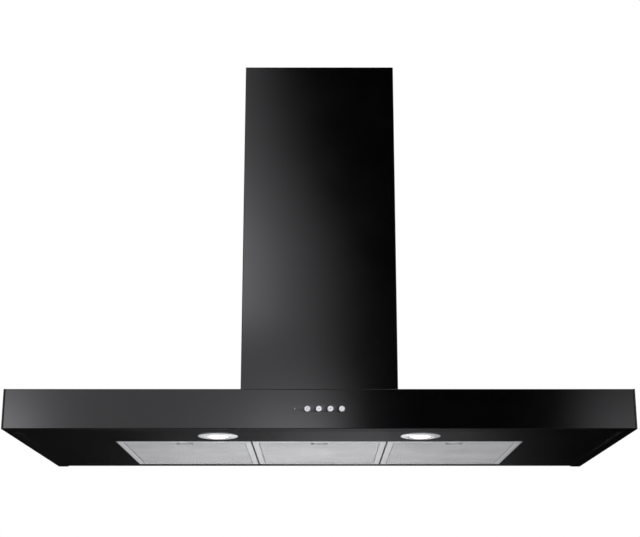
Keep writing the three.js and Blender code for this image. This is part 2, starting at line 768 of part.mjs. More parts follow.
function terminalCover() {
  const low = terminalZ[1] + gap;
  const lipZ = [terminalZ[1] - terminal.lip, low + 1];
  const inset = terminal.wall + gap;
  return join(
    block(terminalX, terminalY, [low, low + terminal.lid]),
    block([terminalX[0] + inset, terminalX[1] - inset], [terminalY[0] + inset, terminalY[1] - inset], lipZ),
  );
}

function cableGland() {
  const rear = terminalY[1];
  return cut(
    join(
      bar("y", gland.thread, [rear - terminal.wall - 4, rear + gland.nutDepth], glandPlace, 20),
      bar("y", gland.nut, [rear + gap, rear + gland.nutDepth], glandPlace, 6),
      bar("y", gland.cap, [rear + gland.nutDepth - 1, rear + gland.capDepth], glandPlace, 20),
    ),
    bar("y", gland.bore, [rear - terminal.wall - 5, rear + gland.capDepth + 1], glandPlace, 16),
  );
}

function lampTransformer() {
  const { x, fromFront, height, ear, earInset, earThick } = transformer;
  const y = fromFront.map((distance) => frontY + distance);
  const top = topSheetZ - gap;
  return join(
    block(x, y, [top - height, top]),
    block([x[0] - ear, x[1] + ear], [y[0] + earInset, y[1] - earInset], [top - earThick, top]),
  );
}

const housingBackY = fasciaBackY + gap + controlBox.depth + 0.4;

function lampLead(sign) {
  const x = sign * lamp.offsetX;
  return cable(
    [
      [x, lampY, 36.4],
      [x, lampY, 44],
      [x - sign * 12, lampY - 3, 52],
      [x - sign * 62, lampY - 16, 54],
      [x - sign * 112, lampY - 31, 50],
      [sign * 48, housingBackY + 14, 44],
      [sign * 46, housingBackY, 42],
    ],
    leadRadius.lamp,
    26,
  );
}

const motorLead = () =>
  cable(
    [
      [0, housingBackY, 46],
      [0, housingBackY + 6, 46],
      [0, housingBackY + 22, 54],
      [4, housingBackY + 60, 61],
      [20, boxFrontY - 60, 62],
      [60, boxFrontY + 2, 62],
      [95, boxFrontY + 23, 64],
      [...capacitorPlace, 71],
      [...capacitorPlace, chimneyBaseZ + capacitor.bottom - 0.4],
    ],
    leadRadius.motor,
    30,
  );

// ---------------------------------------------------------------- assembly
const sides = [["left", -1], ["right", 1]];

add("front_fascia", frontFascia(), blackPaint);
add("top_panel", topPanel(), blackPaint);
add("rear_panel", rearPanel(), blackPaint);
add("underside_panel", undersidePanel(), blackPaint);
add("chimney_lower", chimneyLower(), blackPaint);
add("chimney_upper", chimneyUpper(), blackPaint);
add("chimney_bracket", chimneyBracket(), zincSteel);
add("motor_box", motorCase(), zincSteel);
add("mounting_plate", mountingPlate(), zincSteel);
add("impeller", fanWheel(), greyPlastic);
add("motor_body", motorBody(), zincSteel);
add("motor_shaft", motorShaft(), chrome);
add("motor_spider", motorSpider(), zincSteel);
add("capacitor", runCapacitor(), greyPlastic);
add("outlet_collar", outletCollar(), darkPlastic);
add("damper_pin", damperPin(), chrome);
add("terminal_box", terminalTray(), darkPlastic);
add("terminal_box_cover", terminalCover(), darkPlastic);
add("cable_gland", cableGland(), greyPlastic);
add("lamp_transformer", lampTransformer(), darkPlastic);
add("control_housing", controlHousing(), darkPlastic);
add("control_board", controlBoard(), boardGreen);
add("indicator_lens", indicatorLens(), clearGlass);
add("motor_lead", motorLead(), rubberBlack);

["off", "minus", "plus", "lamp"].forEach((use, i) => add("button_" + use, pushButton(i), buttonPlastic));

for (const [side, sign] of sides) {
  const atLamp = [sign * lamp.offsetX, lampY, 0];
  add("side_panel_" + side, sidePanel(sign), blackPaint);
  add("chimney_foot_" + side, chimneyFoot(sign), zincSteel);
  add("bracket_screw_" + side, bracketScrew(sign), zincSteel);
  add("scroll_" + side, scrollHalf(sign), greyPlastic);
  add("damper_flap_" + side, damperFlap(sign), darkPlastic);
  add("lamp_trim_" + side, lampTrim().translate(atLamp), chrome);
  add("lamp_glass_" + side, lampGlass().translate(atLamp), frostedGlass);
  add("lamp_can_" + side, lampCan().translate(atLamp), aluminium);
  add("lamp_bulb_" + side, lampBulb().translate(atLamp), clearGlass);
  add("lamp_lead_" + side, lampLead(sign), rubberBlack);
}

for (const [place, step] of [...sides, ["centre", 0]]) {
  const across = [step * filterPitch, 0, 0];
  add("filter_frame_" + place, filterFrame().translate(across), aluminium);
  add("filter_mesh_" + place, filterMesh().translate(across), meshMetal);
  add("latch_tray_" + place, latchTray().translate(across), aluminium);
  add("filter_latch_" + place, filterLatch().translate(across), greyPlastic);
}

const rangeHood = new THREE.Group();
rangeHood.add(hood);

export default rangeHood;
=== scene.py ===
"""The looks of a wall-mounted range hood: black enamelled sheet, aluminium grease filters and chrome lamps.

Metres, +Z up. The wall is the plane y = 0 and the front faces -Y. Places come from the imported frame.
"""
import math

import bmesh
import bpy
from mathutils import Matrix, Vector


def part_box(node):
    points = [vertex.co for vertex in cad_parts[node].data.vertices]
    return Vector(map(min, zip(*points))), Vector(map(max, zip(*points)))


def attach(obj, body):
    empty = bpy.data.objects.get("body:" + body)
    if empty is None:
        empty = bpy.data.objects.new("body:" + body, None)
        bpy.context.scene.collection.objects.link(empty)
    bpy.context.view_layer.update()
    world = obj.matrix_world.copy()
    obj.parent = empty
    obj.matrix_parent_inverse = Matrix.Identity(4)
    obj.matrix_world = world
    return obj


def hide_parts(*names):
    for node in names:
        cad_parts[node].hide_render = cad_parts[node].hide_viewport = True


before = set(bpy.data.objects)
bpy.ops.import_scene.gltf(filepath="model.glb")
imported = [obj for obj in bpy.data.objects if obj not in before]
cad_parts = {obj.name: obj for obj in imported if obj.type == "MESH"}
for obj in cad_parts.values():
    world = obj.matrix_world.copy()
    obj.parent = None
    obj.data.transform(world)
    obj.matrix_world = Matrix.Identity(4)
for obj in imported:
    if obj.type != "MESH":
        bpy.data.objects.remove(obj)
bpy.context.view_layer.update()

MM = 0.001
SHEET = 1.2 * MM  # thickness of the folded sheets
GAP = 0.4 * MM  # between two neighbouring sheets
BEND = 1.8 * MM  # outside radius of a bent edge
RETURN = 4.5 * MM  # width of the fascia's folded-in top edge
FOOT = 31 * MM  # width of its folded-in foot
FOOT_DIP = 0.3 * MM  # how far the foot's inner edge hangs
EDGE = 0.25 * MM  # rounding of a cut sheet's edge
UP = Vector((0, 0, 1))
RIGHT = Vector((1, 0, 0))
FRONT = Vector((0, -1, 0))
BACK = Vector((0, 1, 0))

side_low, side_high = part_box("side_panel_right")
UNDERSIDE_Z = side_low.z
TOP_Z = side_high.z
FRONT_Y = side_low.y
HALF_WIDTH = side_high.x
SIDES = (("left", -1), ("right", 1))
FILTERS = ("left", "centre", "right")
BUTTONS = ("off", "minus", "plus", "lamp")


def middle_of(node):
    low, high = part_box(node)
    return (low + high) / 2


def lamp_place(side):
    """The middle of a lamp, at the height of the underside's rims."""
    middle = middle_of("lamp_trim_" + side)
    return Vector((middle.x, middle.y, UNDERSIDE_Z))


def on_front(node):
    """The middle of a button or the indicator, moved onto the fascia's face."""
    middle = middle_of(node)
    return Vector((middle.x, FRONT_Y, middle.z))


# ---------------------------------------------------------------- camera
def make_camera():
    """A long lens low in front of the hood, tilted up at its underside."""
    data = bpy.data.cameras.new("camera")
    data.sensor_width = 36
    data.lens = 70.26
    data.shift_y = 0.0507
    data.clip_end = 50
    camera = bpy.data.objects.new("camera", data)
    camera.location = (0.0013, FRONT_Y - 2.14, UNDERSIDE_Z - 0.345)
    camera.rotation_euler = (math.radians(90 + 15), 0, 0)
    bpy.context.scene.collection.objects.link(camera)
    bpy.context.scene.camera = camera


make_camera()


# ---------------------------------------------------------------- materials
PATTERN_LOW, PATTERN_HIGH = 0.3, 0.7  # most values of a noise texture lie between these


class Finish:
    """A Principled material whose patterns read Object coordinates."""

    def __init__(self, name, color, roughness, metallic=0.0, **sockets):
        self.material = bpy.data.materials.new(name)
        self.material.use_nodes = True
        self.material.diffuse_color = (*color, 1)
        self.tree = self.material.node_tree
        self.shader = self.tree.nodes["Principled BSDF"]
        self.shader.inputs["Base Color"].default_value = (*color, 1)
        self.shader.inputs["Roughness"].default_value = roughness
        self.shader.inputs["Metallic"].default_value = metallic
        for socket, value in sockets.items():
            self.shader.inputs[socket.replace("_", " ")].default_value = value
        self.place = self.tree.nodes.new("ShaderNodeTexCoord").outputs["Object"]

    def node(self, kind, **settings):
        made = self.tree.nodes.new("ShaderNode" + kind)
        for key, value in settings.items():
            if key in made.inputs:
                made.inputs[key].default_value = value
            else:
                setattr(made, key, value)
        return made

    def link(self, output, target):
        self.tree.links.new(output, target)

    def stretched(self, scale):
        mapping = self.node("Mapping")
        mapping.inputs["Scale"].default_value = scale
        self.link(self.place, mapping.inputs["Vector"])
        return mapping.outputs["Vector"]

    def noise(self, scale, detail=2.0, stretch=(1, 1, 1)):
        made = self.node("TexNoise", Scale=scale, Detail=detail)
        self.link(self.stretched(stretch), made.inputs["Vector"])
        return made.outputs["Fac"]

    def ranged(self, value, low, high):
        made = self.node("MapRange")
        made.inputs["From Min"].default_value = PATTERN_LOW
        made.inputs["From Max"].default_value = PATTERN_HIGH
        made.inputs["To Min"].default_value = low
        made.inputs["To Max"].default_value = high
        self.link(value, made.inputs["Value"])
        return made.outputs["Result"]

    def tinted(self, value, dark, light):
        made = self.node("ValToRGB")
        made.color_ramp.elements[0].color = (*dark, 1)
        made.color_ramp.elements[0].position = PATTERN_LOW
        made.color_ramp.elements[1].color = (*light, 1)
        made.color_ramp.elements[1].position = PATTERN_HIGH
        self.link(value, made.inputs["Fac"])
        self.link(made.outputs["Color"], self.shader.inputs["Base Color"])

    def rough(self, value, low, high):
        self.link(self.ranged(value, low, high), self.shader.inputs["Roughness"])

    def bumped(self, value, height, strength=1.0):
        made = self.node("Bump", Strength=strength, Distance=height)
        self.link(value, made.inputs["Height"])
        self.link(made.outputs["Normal"], self.shader.inputs["Normal"])


def black_enamel():
    """Stove enamel: deep black with a soft gloss and a trace of orange peel."""
    made = Finish("black_enamel", (0.0008, 0.0008, 0.001), 0.09, Specular_IOR_Level=0.5)
    made.rough(made.noise(9, 3), 0.08, 0.1)
    made.tinted(made.noise(30, 2), (0.0006, 0.0006, 0.0008), (0.001, 0.001, 0.0013))
    made.bumped(made.noise(420, 1), 0.004 * MM)
    return made.material


def zinc_steel():
    """Galvanised sheet with its crystal spangle."""
    made = Finish("zinc_steel", (0.5, 0.52, 0.53), 0.42, 1.0)
    cells = made.node("TexVoronoi", Scale=70.0, Randomness=1.0)
    made.link(made.place, cells.inputs["Vector"])
    shade = made.node("RGBToBW")
    made.link(cells.outputs["Color"], shade.inputs["Color"])
    made.tinted(shade.outputs["Val"], (0.42, 0.44, 0.46), (0.6, 0.62, 0.63))
    made.rough(shade.outputs["Val"], 0.34, 0.5)
    made.bumped(made.noise(260, 2), 0.01 * MM)
    return made.material


def brushed_aluminium(name, stretch):
    """Rolled aluminium with a grain along one direction."""
    light = (0.76, 0.762, 0.766)
    made = Finish(name, light, 0.4, 0.8)
    grain = made.noise(900, 3, stretch)
    dark = tuple(0.88 * c for c in light)
    made.tinted(grain, dark, light)
    made.rough(grain, 0.36, 0.48)
    made.bumped(grain, 0.01 * MM)
    return made.material


def mesh_aluminium():
    """The filters' expanded mesh: bright strands with a faint stain from use."""
    made = Finish("mesh_aluminium", (0.8, 0.8, 0.805), 0.5, 0.5)
    made.tinted(made.noise(14, 4), (0.6, 0.6, 0.605), (0.7, 0.7, 0.705))
    made.rough(made.noise(200, 2), 0.45, 0.6)
    return made.material


def mesh_painted_shade():
    """What shows between the strands: the next layers of mesh, coloured dark as painted shade."""
    made = Finish("mesh_painted_shade", (0.3, 0.3, 0.31), 0.55, 0.8)
    cells = made.node("TexVoronoi", Scale=330.0, Randomness=0.5, feature="DISTANCE_TO_EDGE")
    made.link(made.place, cells.inputs["Vector"])
    # Painted shade: lighter along the cells' edges and darker in their middles.
    made.tinted(cells.outputs["Distance"], (0.5, 0.5, 0.51), (0.2, 0.2, 0.205))
    made.bumped(cells.outputs["Distance"], 0.5 * MM)
    return made.material


def satin_chrome():
    """The lamps' rings: chromed over a blasted surface, a little darker where the plating is thin."""
    made = Finish("satin_chrome", (0.7, 0.71, 0.72), 0.36, 0.7)
    made.tinted(made.noise(60, 3), (0.6, 0.61, 0.62), (0.84, 0.845, 0.85))
    made.rough(made.noise(500, 2), 0.3, 0.42)
    made.bumped(made.noise(1500, 1), 0.01 * MM)
    return made.material


def steel():
    made = Finish("steel", (0.6, 0.6, 0.61), 0.3, 1.0)
    made.rough(made.noise(500, 2, (1, 0.05, 1)), 0.22, 0.38)
    return made.material


def moulded(name, color, roughness=0.5, grain=0.02):
    """Moulded plastic with a fine spark-eroded texture."""
    made = Finish(name, color, roughness)
    made.rough(made.noise(60, 3), roughness - 0.07, roughness + 0.07)
    dark, light = (tuple(gain * c for c in color) for gain in (0.85, 1.12))
    made.tinted(made.noise(25, 3), dark, light)
    made.bumped(made.noise(1400, 1), grain * MM)
    return made.material


def silver_paint():
    """The button caps: a silver metallic paint under a clear coat."""
    made = Finish("silver_paint", (0.74, 0.74, 0.77), 0.32, 0.35, Coat_Weight=0.5, Coat_Roughness=0.12)
    made.tinted(made.noise(3000, 1), (0.68, 0.68, 0.71), (0.8, 0.8, 0.83))
    made.rough(made.noise(900, 2), 0.27, 0.37)
    return made.material


def lit_glass():
    """Frosted glass over the lamp, brightest in the middle, where the bulb stands behind it."""
    made = Finish("lit_glass", (0.9, 0.9, 0.88), 0.3, 0.0)
    made.tinted(made.noise(700, 2), (0.86, 0.86, 0.84), (0.92, 0.92, 0.9))
    made.rough(made.noise(500, 2), 0.25, 0.38)
    # The absolute place puts both lamps on top of each other, with x and y positive.
    folded_over = made.node("VectorMath", operation="ABSOLUTE")
    made.link(made.place, folded_over.inputs[0])
    flat = made.node("VectorMath", operation="MULTIPLY")
    made.link(folded_over.outputs["Vector"], flat.inputs[0])
    flat.inputs[1].default_value = (1, 1, 0)
    from_bulb = made.node("VectorMath", operation="DISTANCE")
    made.link(flat.outputs["Vector"], from_bulb.inputs[0])
    bulb = lamp_place("right")
    from_bulb.inputs[1].default_value = (bulb.x, -bulb.y, 0)
    glow = made.node("MapRange", interpolation_type="SMOOTHSTEP")
    glow.inputs["From Min"].default_value = 6 * MM
    glow.inputs["From Max"].default_value = 20.5 * MM
    glow.inputs["To Min"].default_value = 1.8
    glow.inputs["To Max"].default_value = 0.08
    made.link(from_bulb.outputs["Value"], glow.inputs["Value"])
    made.link(glow.outputs["Result"], made.shader.inputs["Emission Strength"])
    made.shader.inputs["Emission Color"].default_value = (1, 0.99, 0.965, 1)
    return made.material


def clear_glass():
    made = Finish("clear_glass", (0.93, 0.95, 0.96), 0.05, 0.0, Transmission_Weight=0.9)
    made.rough(made.noise(100, 1), 0.03, 0.08)
    return made.material


def circuit_green():
    made = Finish("circuit_green", (0.02, 0.12, 0.05), 0.4)
    tracks = made.node("TexBrick", Scale=160.0)
    made.link(made.place, tracks.inputs["Vector"])
    made.tinted(tracks.outputs["Fac"], (0.015, 0.09, 0.035), (0.05, 0.2, 0.08))
    return made.material


ENAMEL = black_enamel()
ZINC = zinc_steel()
FRAME_X = brushed_aluminium("rolled_aluminium_x", (0.02, 1, 1))
FRAME_Y = brushed_aluminium("rolled_aluminium_y", (1, 0.02, 1))
CAN = brushed_aluminium("spun_aluminium", (1, 1, 0.05))
MESH = mesh_aluminium()
# Painted shade for the filters' inner layers.
PAINTED_SHADE_LAYERS = mesh_painted_shade()
CHROME = satin_chrome()
STEEL = steel()
BLACK_PLASTIC = moulded("black_plastic", (0.018, 0.018, 0.02))
BLOWER_PLASTIC = moulded("blower_plastic", (0.1, 0.105, 0.11), 0.55)
GREY_PLASTIC = moulded("grey_plastic", (0.3, 0.31, 0.32), 0.45)
LATCH_PLASTIC = moulded("latch_plastic", (0.34, 0.34, 0.35), 0.42)
MOTOR_PAINT = moulded("motor_paint", (0.28, 0.29, 0.3), 0.4, 0.01)
RUBBER = moulded("cable_sheath", (0.02, 0.02, 0.02), 0.65)
MARKS = moulded("printed_marks", (0.16, 0.16, 0.18), 0.4, 0.0)
SILVER = silver_paint()
LIT_GLASS = lit_glass()
CLEAR_GLASS = clear_glass()
CIRCUIT = circuit_green()


# ---------------------------------------------------------------- mesh work
def make_piece(name, bm, material, body, nodes=(), smooth=35):
    """Turns a bmesh into a piece that rides on a body and stands for the named CAD nodes."""
    mesh = bpy.data.meshes.new(name)
    bm.to_mesh(mesh)
    bm.free()
    mesh.materials.append(material)
    mesh.shade_smooth()
    mesh.set_sharp_from_angle(angle=math.radians(smooth))
    made = bpy.data.objects.new(name, mesh)
    bpy.context.scene.collection.objects.link(made)
    keep_flats_flat(made)
    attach(made, body)
    if nodes:
        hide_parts(*nodes)
    return made


def keep_flats_flat(made):
    """Lets the large faces rule the shading, so that a flat sheet mirrors as one plane."""
    weigh = made.modifiers.new("weigh", "WEIGHTED_NORMAL")
    weigh.mode = "FACE_AREA"
    weigh.weight = 100
    weigh.keep_sharp = True


def sharp_edges(bm):
    limit = math.radians(50)
    return [e for e in bm.edges if len(e.link_faces) == 2 and e.calc_face_angle(0) > limit]


def round_edges(bm, width, segments=2, edges=None):
    chosen = sharp_edges(bm) if edges is None else edges
    bmesh.ops.bevel(bm, geom=chosen, offset=width, segments=segments, profile=0.5, affect="EDGES",
                    clamp_overlap=True, material=-1)


def add_box(bm, low, high, rounding=0.0, segments=2):
    low, high = Vector(low), Vector(high)
    place = Matrix.Translation((low + high) / 2) @ Matrix.Diagonal((*(high - low), 1))
    corners = bmesh.ops.create_cube(bm, size=1, matrix=place)["verts"]
    if rounding:
        edges = {e for v in corners for e in v.link_edges}
        round_edges(bm, rounding, segments, list(edges))


def add_part(bm, part):
    """Moves all of one bmesh into another."""
    carried = bpy.data.meshes.new("part")
    part.to_mesh(carried)
    part.free()
    bm.from_mesh(carried)
    bpy.data.meshes.remove(carried)


def close_up(bm):
    """Merges doubles and turns every face outwards."""
    bmesh.ops.remove_doubles(bm, verts=bm.verts, dist=1e-6)
    bmesh.ops.recalc_face_normals(bm, faces=bm.faces)


def spun(profile, centre, axis=UP, steps=64):
    """A closed turned shape from (radius, height) points in millimetres, which end on the axis or meet."""
    bm = bmesh.new()
    turn = UP.rotation_difference(axis).to_matrix().to_4x4()
    place = Matrix.Translation(centre) @ turn
    ring = profile[0][0] > 0 or profile[-1][0] > 0
    points = [bm.verts.new((r * MM, 0, h * MM)) for r, h in profile]
    pairs = list(zip(points, points[1:] + points[:1])) if ring else list(zip(points, points[1:]))
    edges = [bm.edges.new(pair) for pair in pairs]
    bmesh.ops.spin(bm, geom=points + edges, cent=(0, 0, 0), axis=UP, angle=math.tau, steps=steps,
                   use_merge=True)
    close_up(bm)
    bm.transform(place)
    return bm


def bent(points, radius, steps=5):
    """A path in a plane with each inner corner turned into an arc."""
    path = [Vector(points[0])]
    for before, corner, after in zip(points, points[1:], points[2:]):
        corner = Vector(corner)
        to_before = (Vector(before) - corner).normalized()
        to_after = (Vector(after) - corner).normalized()
        half = to_before.angle(to_after) / 2
        reach = radius / math.tan(half)
        centre = corner + (to_before + to_after).normalized() * radius / math.sin(half)
        start = corner + to_before * reach - centre
        end = corner + to_after * reach - centre
        for i in range(steps + 1):
            path.append(centre + start.lerp(end, i / steps).normalized() * radius)
    path.append(Vector(points[-1]))
    return path


def circle_loop(centre, radius, across, along, steps=32):
    turns = [math.tau * i / steps for i in range(steps)]
    return [centre + across * radius * math.cos(t) + along * radius * math.sin(t) for t in turns]


def slot_loop(centre, length, height, across, along, steps=8):
    """A slot with round ends, its length along the first direction."""
    loop = []
    for end in (1, -1):
        for i in range(steps + 1):
            turn = math.pi * (i / steps - 0.5)
            out = end * ((length - height) / 2 + height / 2 * math.cos(turn))
            loop.append(centre + across * out + along * (end * height / 2 * math.sin(turn)))
    return loop


def add_loop(bm, points):
    verts = [bm.verts.new(p) for p in points]
    return [bm.edges.new(pair) for pair in zip(verts, verts[1:] + verts[:1])]


def plate(outline, holes, thickness):
    """A flat sheet with holes, its first face in the outline's plane and its thickness along a vector."""
    bm = bmesh.new()
    edges = add_loop(bm, outline)
    for hole in holes:
        edges += add_loop(bm, hole)
    bmesh.ops.triangle_fill(bm, use_beauty=True, edges=edges, normal=thickness.normalized())
    give_thickness(bm, thickness)
    round_edges(bm, EDGE)
    return bm


def verts_in(geom):
    return [g for g in geom if isinstance(g, bmesh.types.BMVert)]


def give_thickness(bm, thickness):
    """Copies an open sheet along a vector and joins the two at their rims."""
    rim = [e for e in bm.edges if e.is_boundary]
    copied = bmesh.ops.duplicate(bm, geom=list(bm.verts) + list(bm.edges) + list(bm.faces))
    bmesh.ops.translate(bm, vec=thickness, verts=verts_in(copied["geom"]))
    for edge in rim:
        a, b = edge.verts
        c, d = copied["edge_map"][edge].verts
        bm.faces.new((a, b, d, c))
    close_up(bm)


def folded(section, across, windows=(), rounding=EDGE):
    """A bent sheet: a path of outside points drawn across a vector and thickened inwards.

    Windows are cut in its flats, each given as a flat's direction and its loops.
    """
    bm = bmesh.new()
    verts = [bm.verts.new(p) for p in section]
    edges = [bm.edges.new(pair) for pair in zip(verts, verts[1:])]
    grown = bmesh.ops.extrude_edge_only(bm, edges=edges)["geom"]
    bmesh.ops.translate(bm, vec=across, verts=verts_in(grown))
    bmesh.ops.recalc_face_normals(bm, faces=bm.faces)
    middle = sum((v.co for v in bm.verts), Vector()) / len(bm.verts)
    widest = max(bm.faces, key=lambda f: f.calc_area())
    if widest.normal.dot(widest.calc_center_median() - middle) < 0:
        bmesh.ops.reverse_faces(bm, faces=bm.faces)
    for flat, loops in windows:
        cut_windows(bm, flat, loops)
    bmesh.ops.solidify(bm, geom=bm.faces, thickness=SHEET)
    close_up(bm)
    round_edges(bm, rounding)
    return bm


def cut_windows(bm, direction, loops):
    """Fills the largest flat that faces a direction again, round the loops."""
    flats = [f for f in bm.faces if f.normal.dot(direction) > 0.999]
    flat = max(flats, key=lambda f: f.calc_area())
    normal = flat.normal.copy()
    edges = list(flat.edges)
    bmesh.ops.delete(bm, geom=[flat], context="FACES_ONLY")
    for loop in loops:
        edges += add_loop(bm, loop)
    filled = bmesh.ops.triangle_fill(bm, use_beauty=True, edges=edges, normal=normal)["geom"]
    for item in filled:
        if isinstance(item, bmesh.types.BMFace) and item.normal.dot(normal) < 0:
            item.normal_flip()


def dress(node, material, rounding=0.4 * MM):
    """Keeps a CAD node's shape, softens its edges and gives it a finish."""
    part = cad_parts[node]
    part.data.materials.clear()
    part.data.materials.append(material)
    part.data.shade_smooth()
    weld = part.modifiers.new("weld", "WELD")
    weld.merge_threshold = 0.01 * MM
    if rounding:
        soften = part.modifiers.new("soften", "BEVEL")
        soften.width = rounding
        soften.segments = 2
        soften.limit_method = "ANGLE"
        soften.angle_limit = math.radians(50)
        soften.use_clamp_overlap = True
    split = part.modifiers.new("split", "EDGE_SPLIT")
    split.split_angle = math.radians(40)
    keep_flats_flat(part)


# ---------------------------------------------------------------- canopy
MESH_BITE = 6 * MM  # how far a filter's mesh reaches into its frame
BAY_GAP = 1.5 * MM  # between the filters and the bay, at the sides and the front
BAY_REAR_GAP = 2 * MM
filter_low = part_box("filter_frame_left")[0]
BAY_HALF = -filter_low.x + BAY_GAP
BAY_FRONT = filter_low.y - BAY_GAP
BAY_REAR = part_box("filter_mesh_left")[1].y + MESH_BITE + BAY_REAR_GAP
LAMP_HOLE = 31.5 * MM
BUTTON_HOLE = 5.4 * MM
INDICATOR_HOLE = 1.8 * MM
PANEL_LOW, PANEL_HIGH = (corner.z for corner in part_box("underside_panel"))
PANEL_FRONT = FRONT_Y + RETURN + GAP
HEM_DEPTH = 10 * MM  # of the side panels' folded front edges
HEM_WIDTH = 3.6 * MM
THROAT = (0.115, -0.225, -0.025)  # hole in the top panel: half its width, its front and its rear


def front_fascia():
    """The front, bent over at the top and the bottom, with the holes for the buttons and the indicator."""
    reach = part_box("front_fascia")[1].x
    section = bent(
        [
            (-reach, FRONT_Y + FOOT, UNDERSIDE_Z - FOOT_DIP),
            (-reach, FRONT_Y, UNDERSIDE_Z),
            (-reach, FRONT_Y, TOP_Z),
            (-reach, FRONT_Y + RETURN, TOP_Z),
        ],
        BEND,
    )
    holes = [circle_loop(on_front("button_" + use), BUTTON_HOLE, RIGHT, UP) for use in BUTTONS]
    holes.append(circle_loop(on_front("indicator_lens"), INDICATOR_HOLE, RIGHT, UP, 20))
    bm = folded(section, RIGHT * 2 * reach, [(FRONT, holes)])
    make_piece("fascia", bm, ENAMEL, "hood", ["front_fascia"])


def side_panel(side, sign):
    """A side whose front edge is folded back on itself, with a rim along its foot."""
    inner = HALF_WIDTH - HEM_WIDTH
    section = bent(
        [
            (inner, FRONT_Y + HEM_DEPTH, UNDERSIDE_Z),
            (inner, FRONT_Y, UNDERSIDE_Z),
            (HALF_WIDTH, FRONT_Y, UNDERSIDE_Z),
            (HALF_WIDTH, 0, UNDERSIDE_Z),
        ],
        HEM_WIDTH / 2 - 0.01 * MM,
        8,
    )
    bm = folded(section, UP * (TOP_Z - UNDERSIDE_Z), rounding=0.45 * MM)
    rim_low = (side_low.x, FRONT_Y + FOOT + GAP, UNDERSIDE_Z)
    rim_high = (HALF_WIDTH - SHEET, 0, UNDERSIDE_Z + SHEET)
    add_box(bm, rim_low, rim_high, EDGE)
    return_low = (side_low.x, -SHEET, UNDERSIDE_Z + SHEET)
    add_box(bm, return_low, (HALF_WIDTH - SHEET, 0, TOP_Z - SHEET - GAP), EDGE)
    if sign < 0:
        mirror_x(bm)
    make_piece("side_sheet_" + side, bm, ENAMEL, "hood", ["side_panel_" + side])


def mirror_x(bm):
    bmesh.ops.scale(bm, vec=(-1, 1, 1), verts=bm.verts)
    bmesh.ops.recalc_face_normals(bm, faces=bm.faces)


def panel_outline(z):
    """The top and the underside: a rectangle notched round the side panels' folded edges."""
    reach = HALF_WIDTH - SHEET - GAP
    hem = HALF_WIDTH - HEM_WIDTH - GAP
    step = FRONT_Y + HEM_DEPTH + GAP
    right = [(hem, PANEL_FRONT), (hem, step), (reach, step), (reach, 0)]
    left = [(-x, y) for x, y in reversed(right)]
    return [Vector((x, y, z)) for x, y in right + left]


def rectangle(x0, x1, y0, y1, z):
    return [Vector((x, y, z)) for x, y in ((x0, y0), (x1, y0), (x1, y1), (x0, y1))]


def top_sheet():
    half, front, rear = THROAT
    bm = plate(panel_outline(TOP_Z), [rectangle(-half, half, front, rear, TOP_Z)], UP * -SHEET)
    make_piece("top_sheet", bm, ENAMEL, "hood", ["top_panel"])


def underside_sheet():
    """The underside, with the filters' bay, its two side lips and the lamps' holes."""
    holes = [rectangle(-BAY_HALF, BAY_HALF, BAY_FRONT, BAY_REAR, PANEL_LOW)]
    for side, _ in SIDES:
        at = lamp_place(side)
        at.z = PANEL_LOW
        holes.append(circle_loop(at, LAMP_HOLE, RIGHT, BACK, 48))
    bm = plate(panel_outline(PANEL_LOW), holes, UP * SHEET)
    for _, sign in SIDES:
        x0, x1 = sorted((sign * BAY_HALF, sign * (BAY_HALF + SHEET)))
        add_box(bm, (x0, BAY_FRONT, PANEL_LOW + SHEET), (x1, BAY_REAR, PANEL_HIGH), EDGE)
    make_piece("underside_sheet", bm, ENAMEL, "hood", ["underside_panel"])


# ---------------------------------------------------------------- chimney
LOWER_RETURN = 15 * MM  # width of the lower cover's folds on the wall
UPPER_RETURN = 13.2 * MM
SCREW_HOLE = 2.2 * MM
VENTS = {"count": 5, "pitch": 14 * MM, "from_top": 62.5 * MM, "length": 70 * MM, "height": 5 * MM}


def cover_section(low, high, rear_return):
    """The plan of a chimney cover: round from one narrow return on the wall to the other."""
    x, front, rear, z = high.x, low.y, high.y, low.z
    inner = x - rear_return
    plan = [(-inner, rear), (-x, rear), (-x, front), (x, front), (x, rear), (inner, rear)]
    return bent([(px, py, z) for px, py in plan], BEND)


def lower_cover():
    low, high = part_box("chimney_lower")
    bm = folded(cover_section(low, high, LOWER_RETURN), UP * (high.z - low.z))
    make_piece("lower_cover", bm, ENAMEL, "hood", ["chimney_lower"])


def upper_cover():
    """The telescopic cover, with its side vents and the holes for the bracket's screws."""
    low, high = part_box("chimney_upper")
    middle_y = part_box("chimney_lower")[0].y / 2
    windows = []
    for _, sign in SIDES:
        loops = []
        for i in range(VENTS["count"]):
            z = high.z - VENTS["from_top"] - i * VENTS["pitch"]
            at = Vector((sign * high.x, middle_y, z))
            loops.append(slot_loop(at, VENTS["length"], VENTS["height"], BACK, UP))
        at = middle_of("bracket_screw_right")
        at.x = sign * high.x
        loops.append(circle_loop(at, SCREW_HOLE, BACK, UP, 16))
        windows.append((Vector((sign, 0, 0)), loops))
    bm = folded(cover_section(low, high, UPPER_RETURN), UP * (high.z - low.z), windows)
    make_piece("upper_cover", bm, ENAMEL, "chimney_top", ["chimney_upper"])


# ---------------------------------------------------------------- filters
RAIL = 12 * MM  # width of the frame's rails
RAIL_ROUNDING = 1.1 * MM
REVEAL = 0.9 * MM  # dark line between the mesh and its frame
SLOT_HALF = 7.5 * MM  # half the width of the slot for the latch's tongue
SLOT_LOW, SLOT_HIGH = 3.9 * MM, 6.5 * MM  # its heights above the filter's underside
HOOK = {"from_middle": 70 * MM, "half": 10 * MM, "low": 6.9 * MM, "high": 5.4 * MM}  # heights below the top
STRAND = {"long": 8 * MM, "short": 4.4 * MM, "width": 0.55 * MM, "drop": 0.5 * MM}
CORE_MARGIN = 5.7 * MM  # the core's distance from the mesh's rim
CORE_DEPTH = 0.9 * MM  # and from its faces
TRAY_GAP = 0.3 * MM


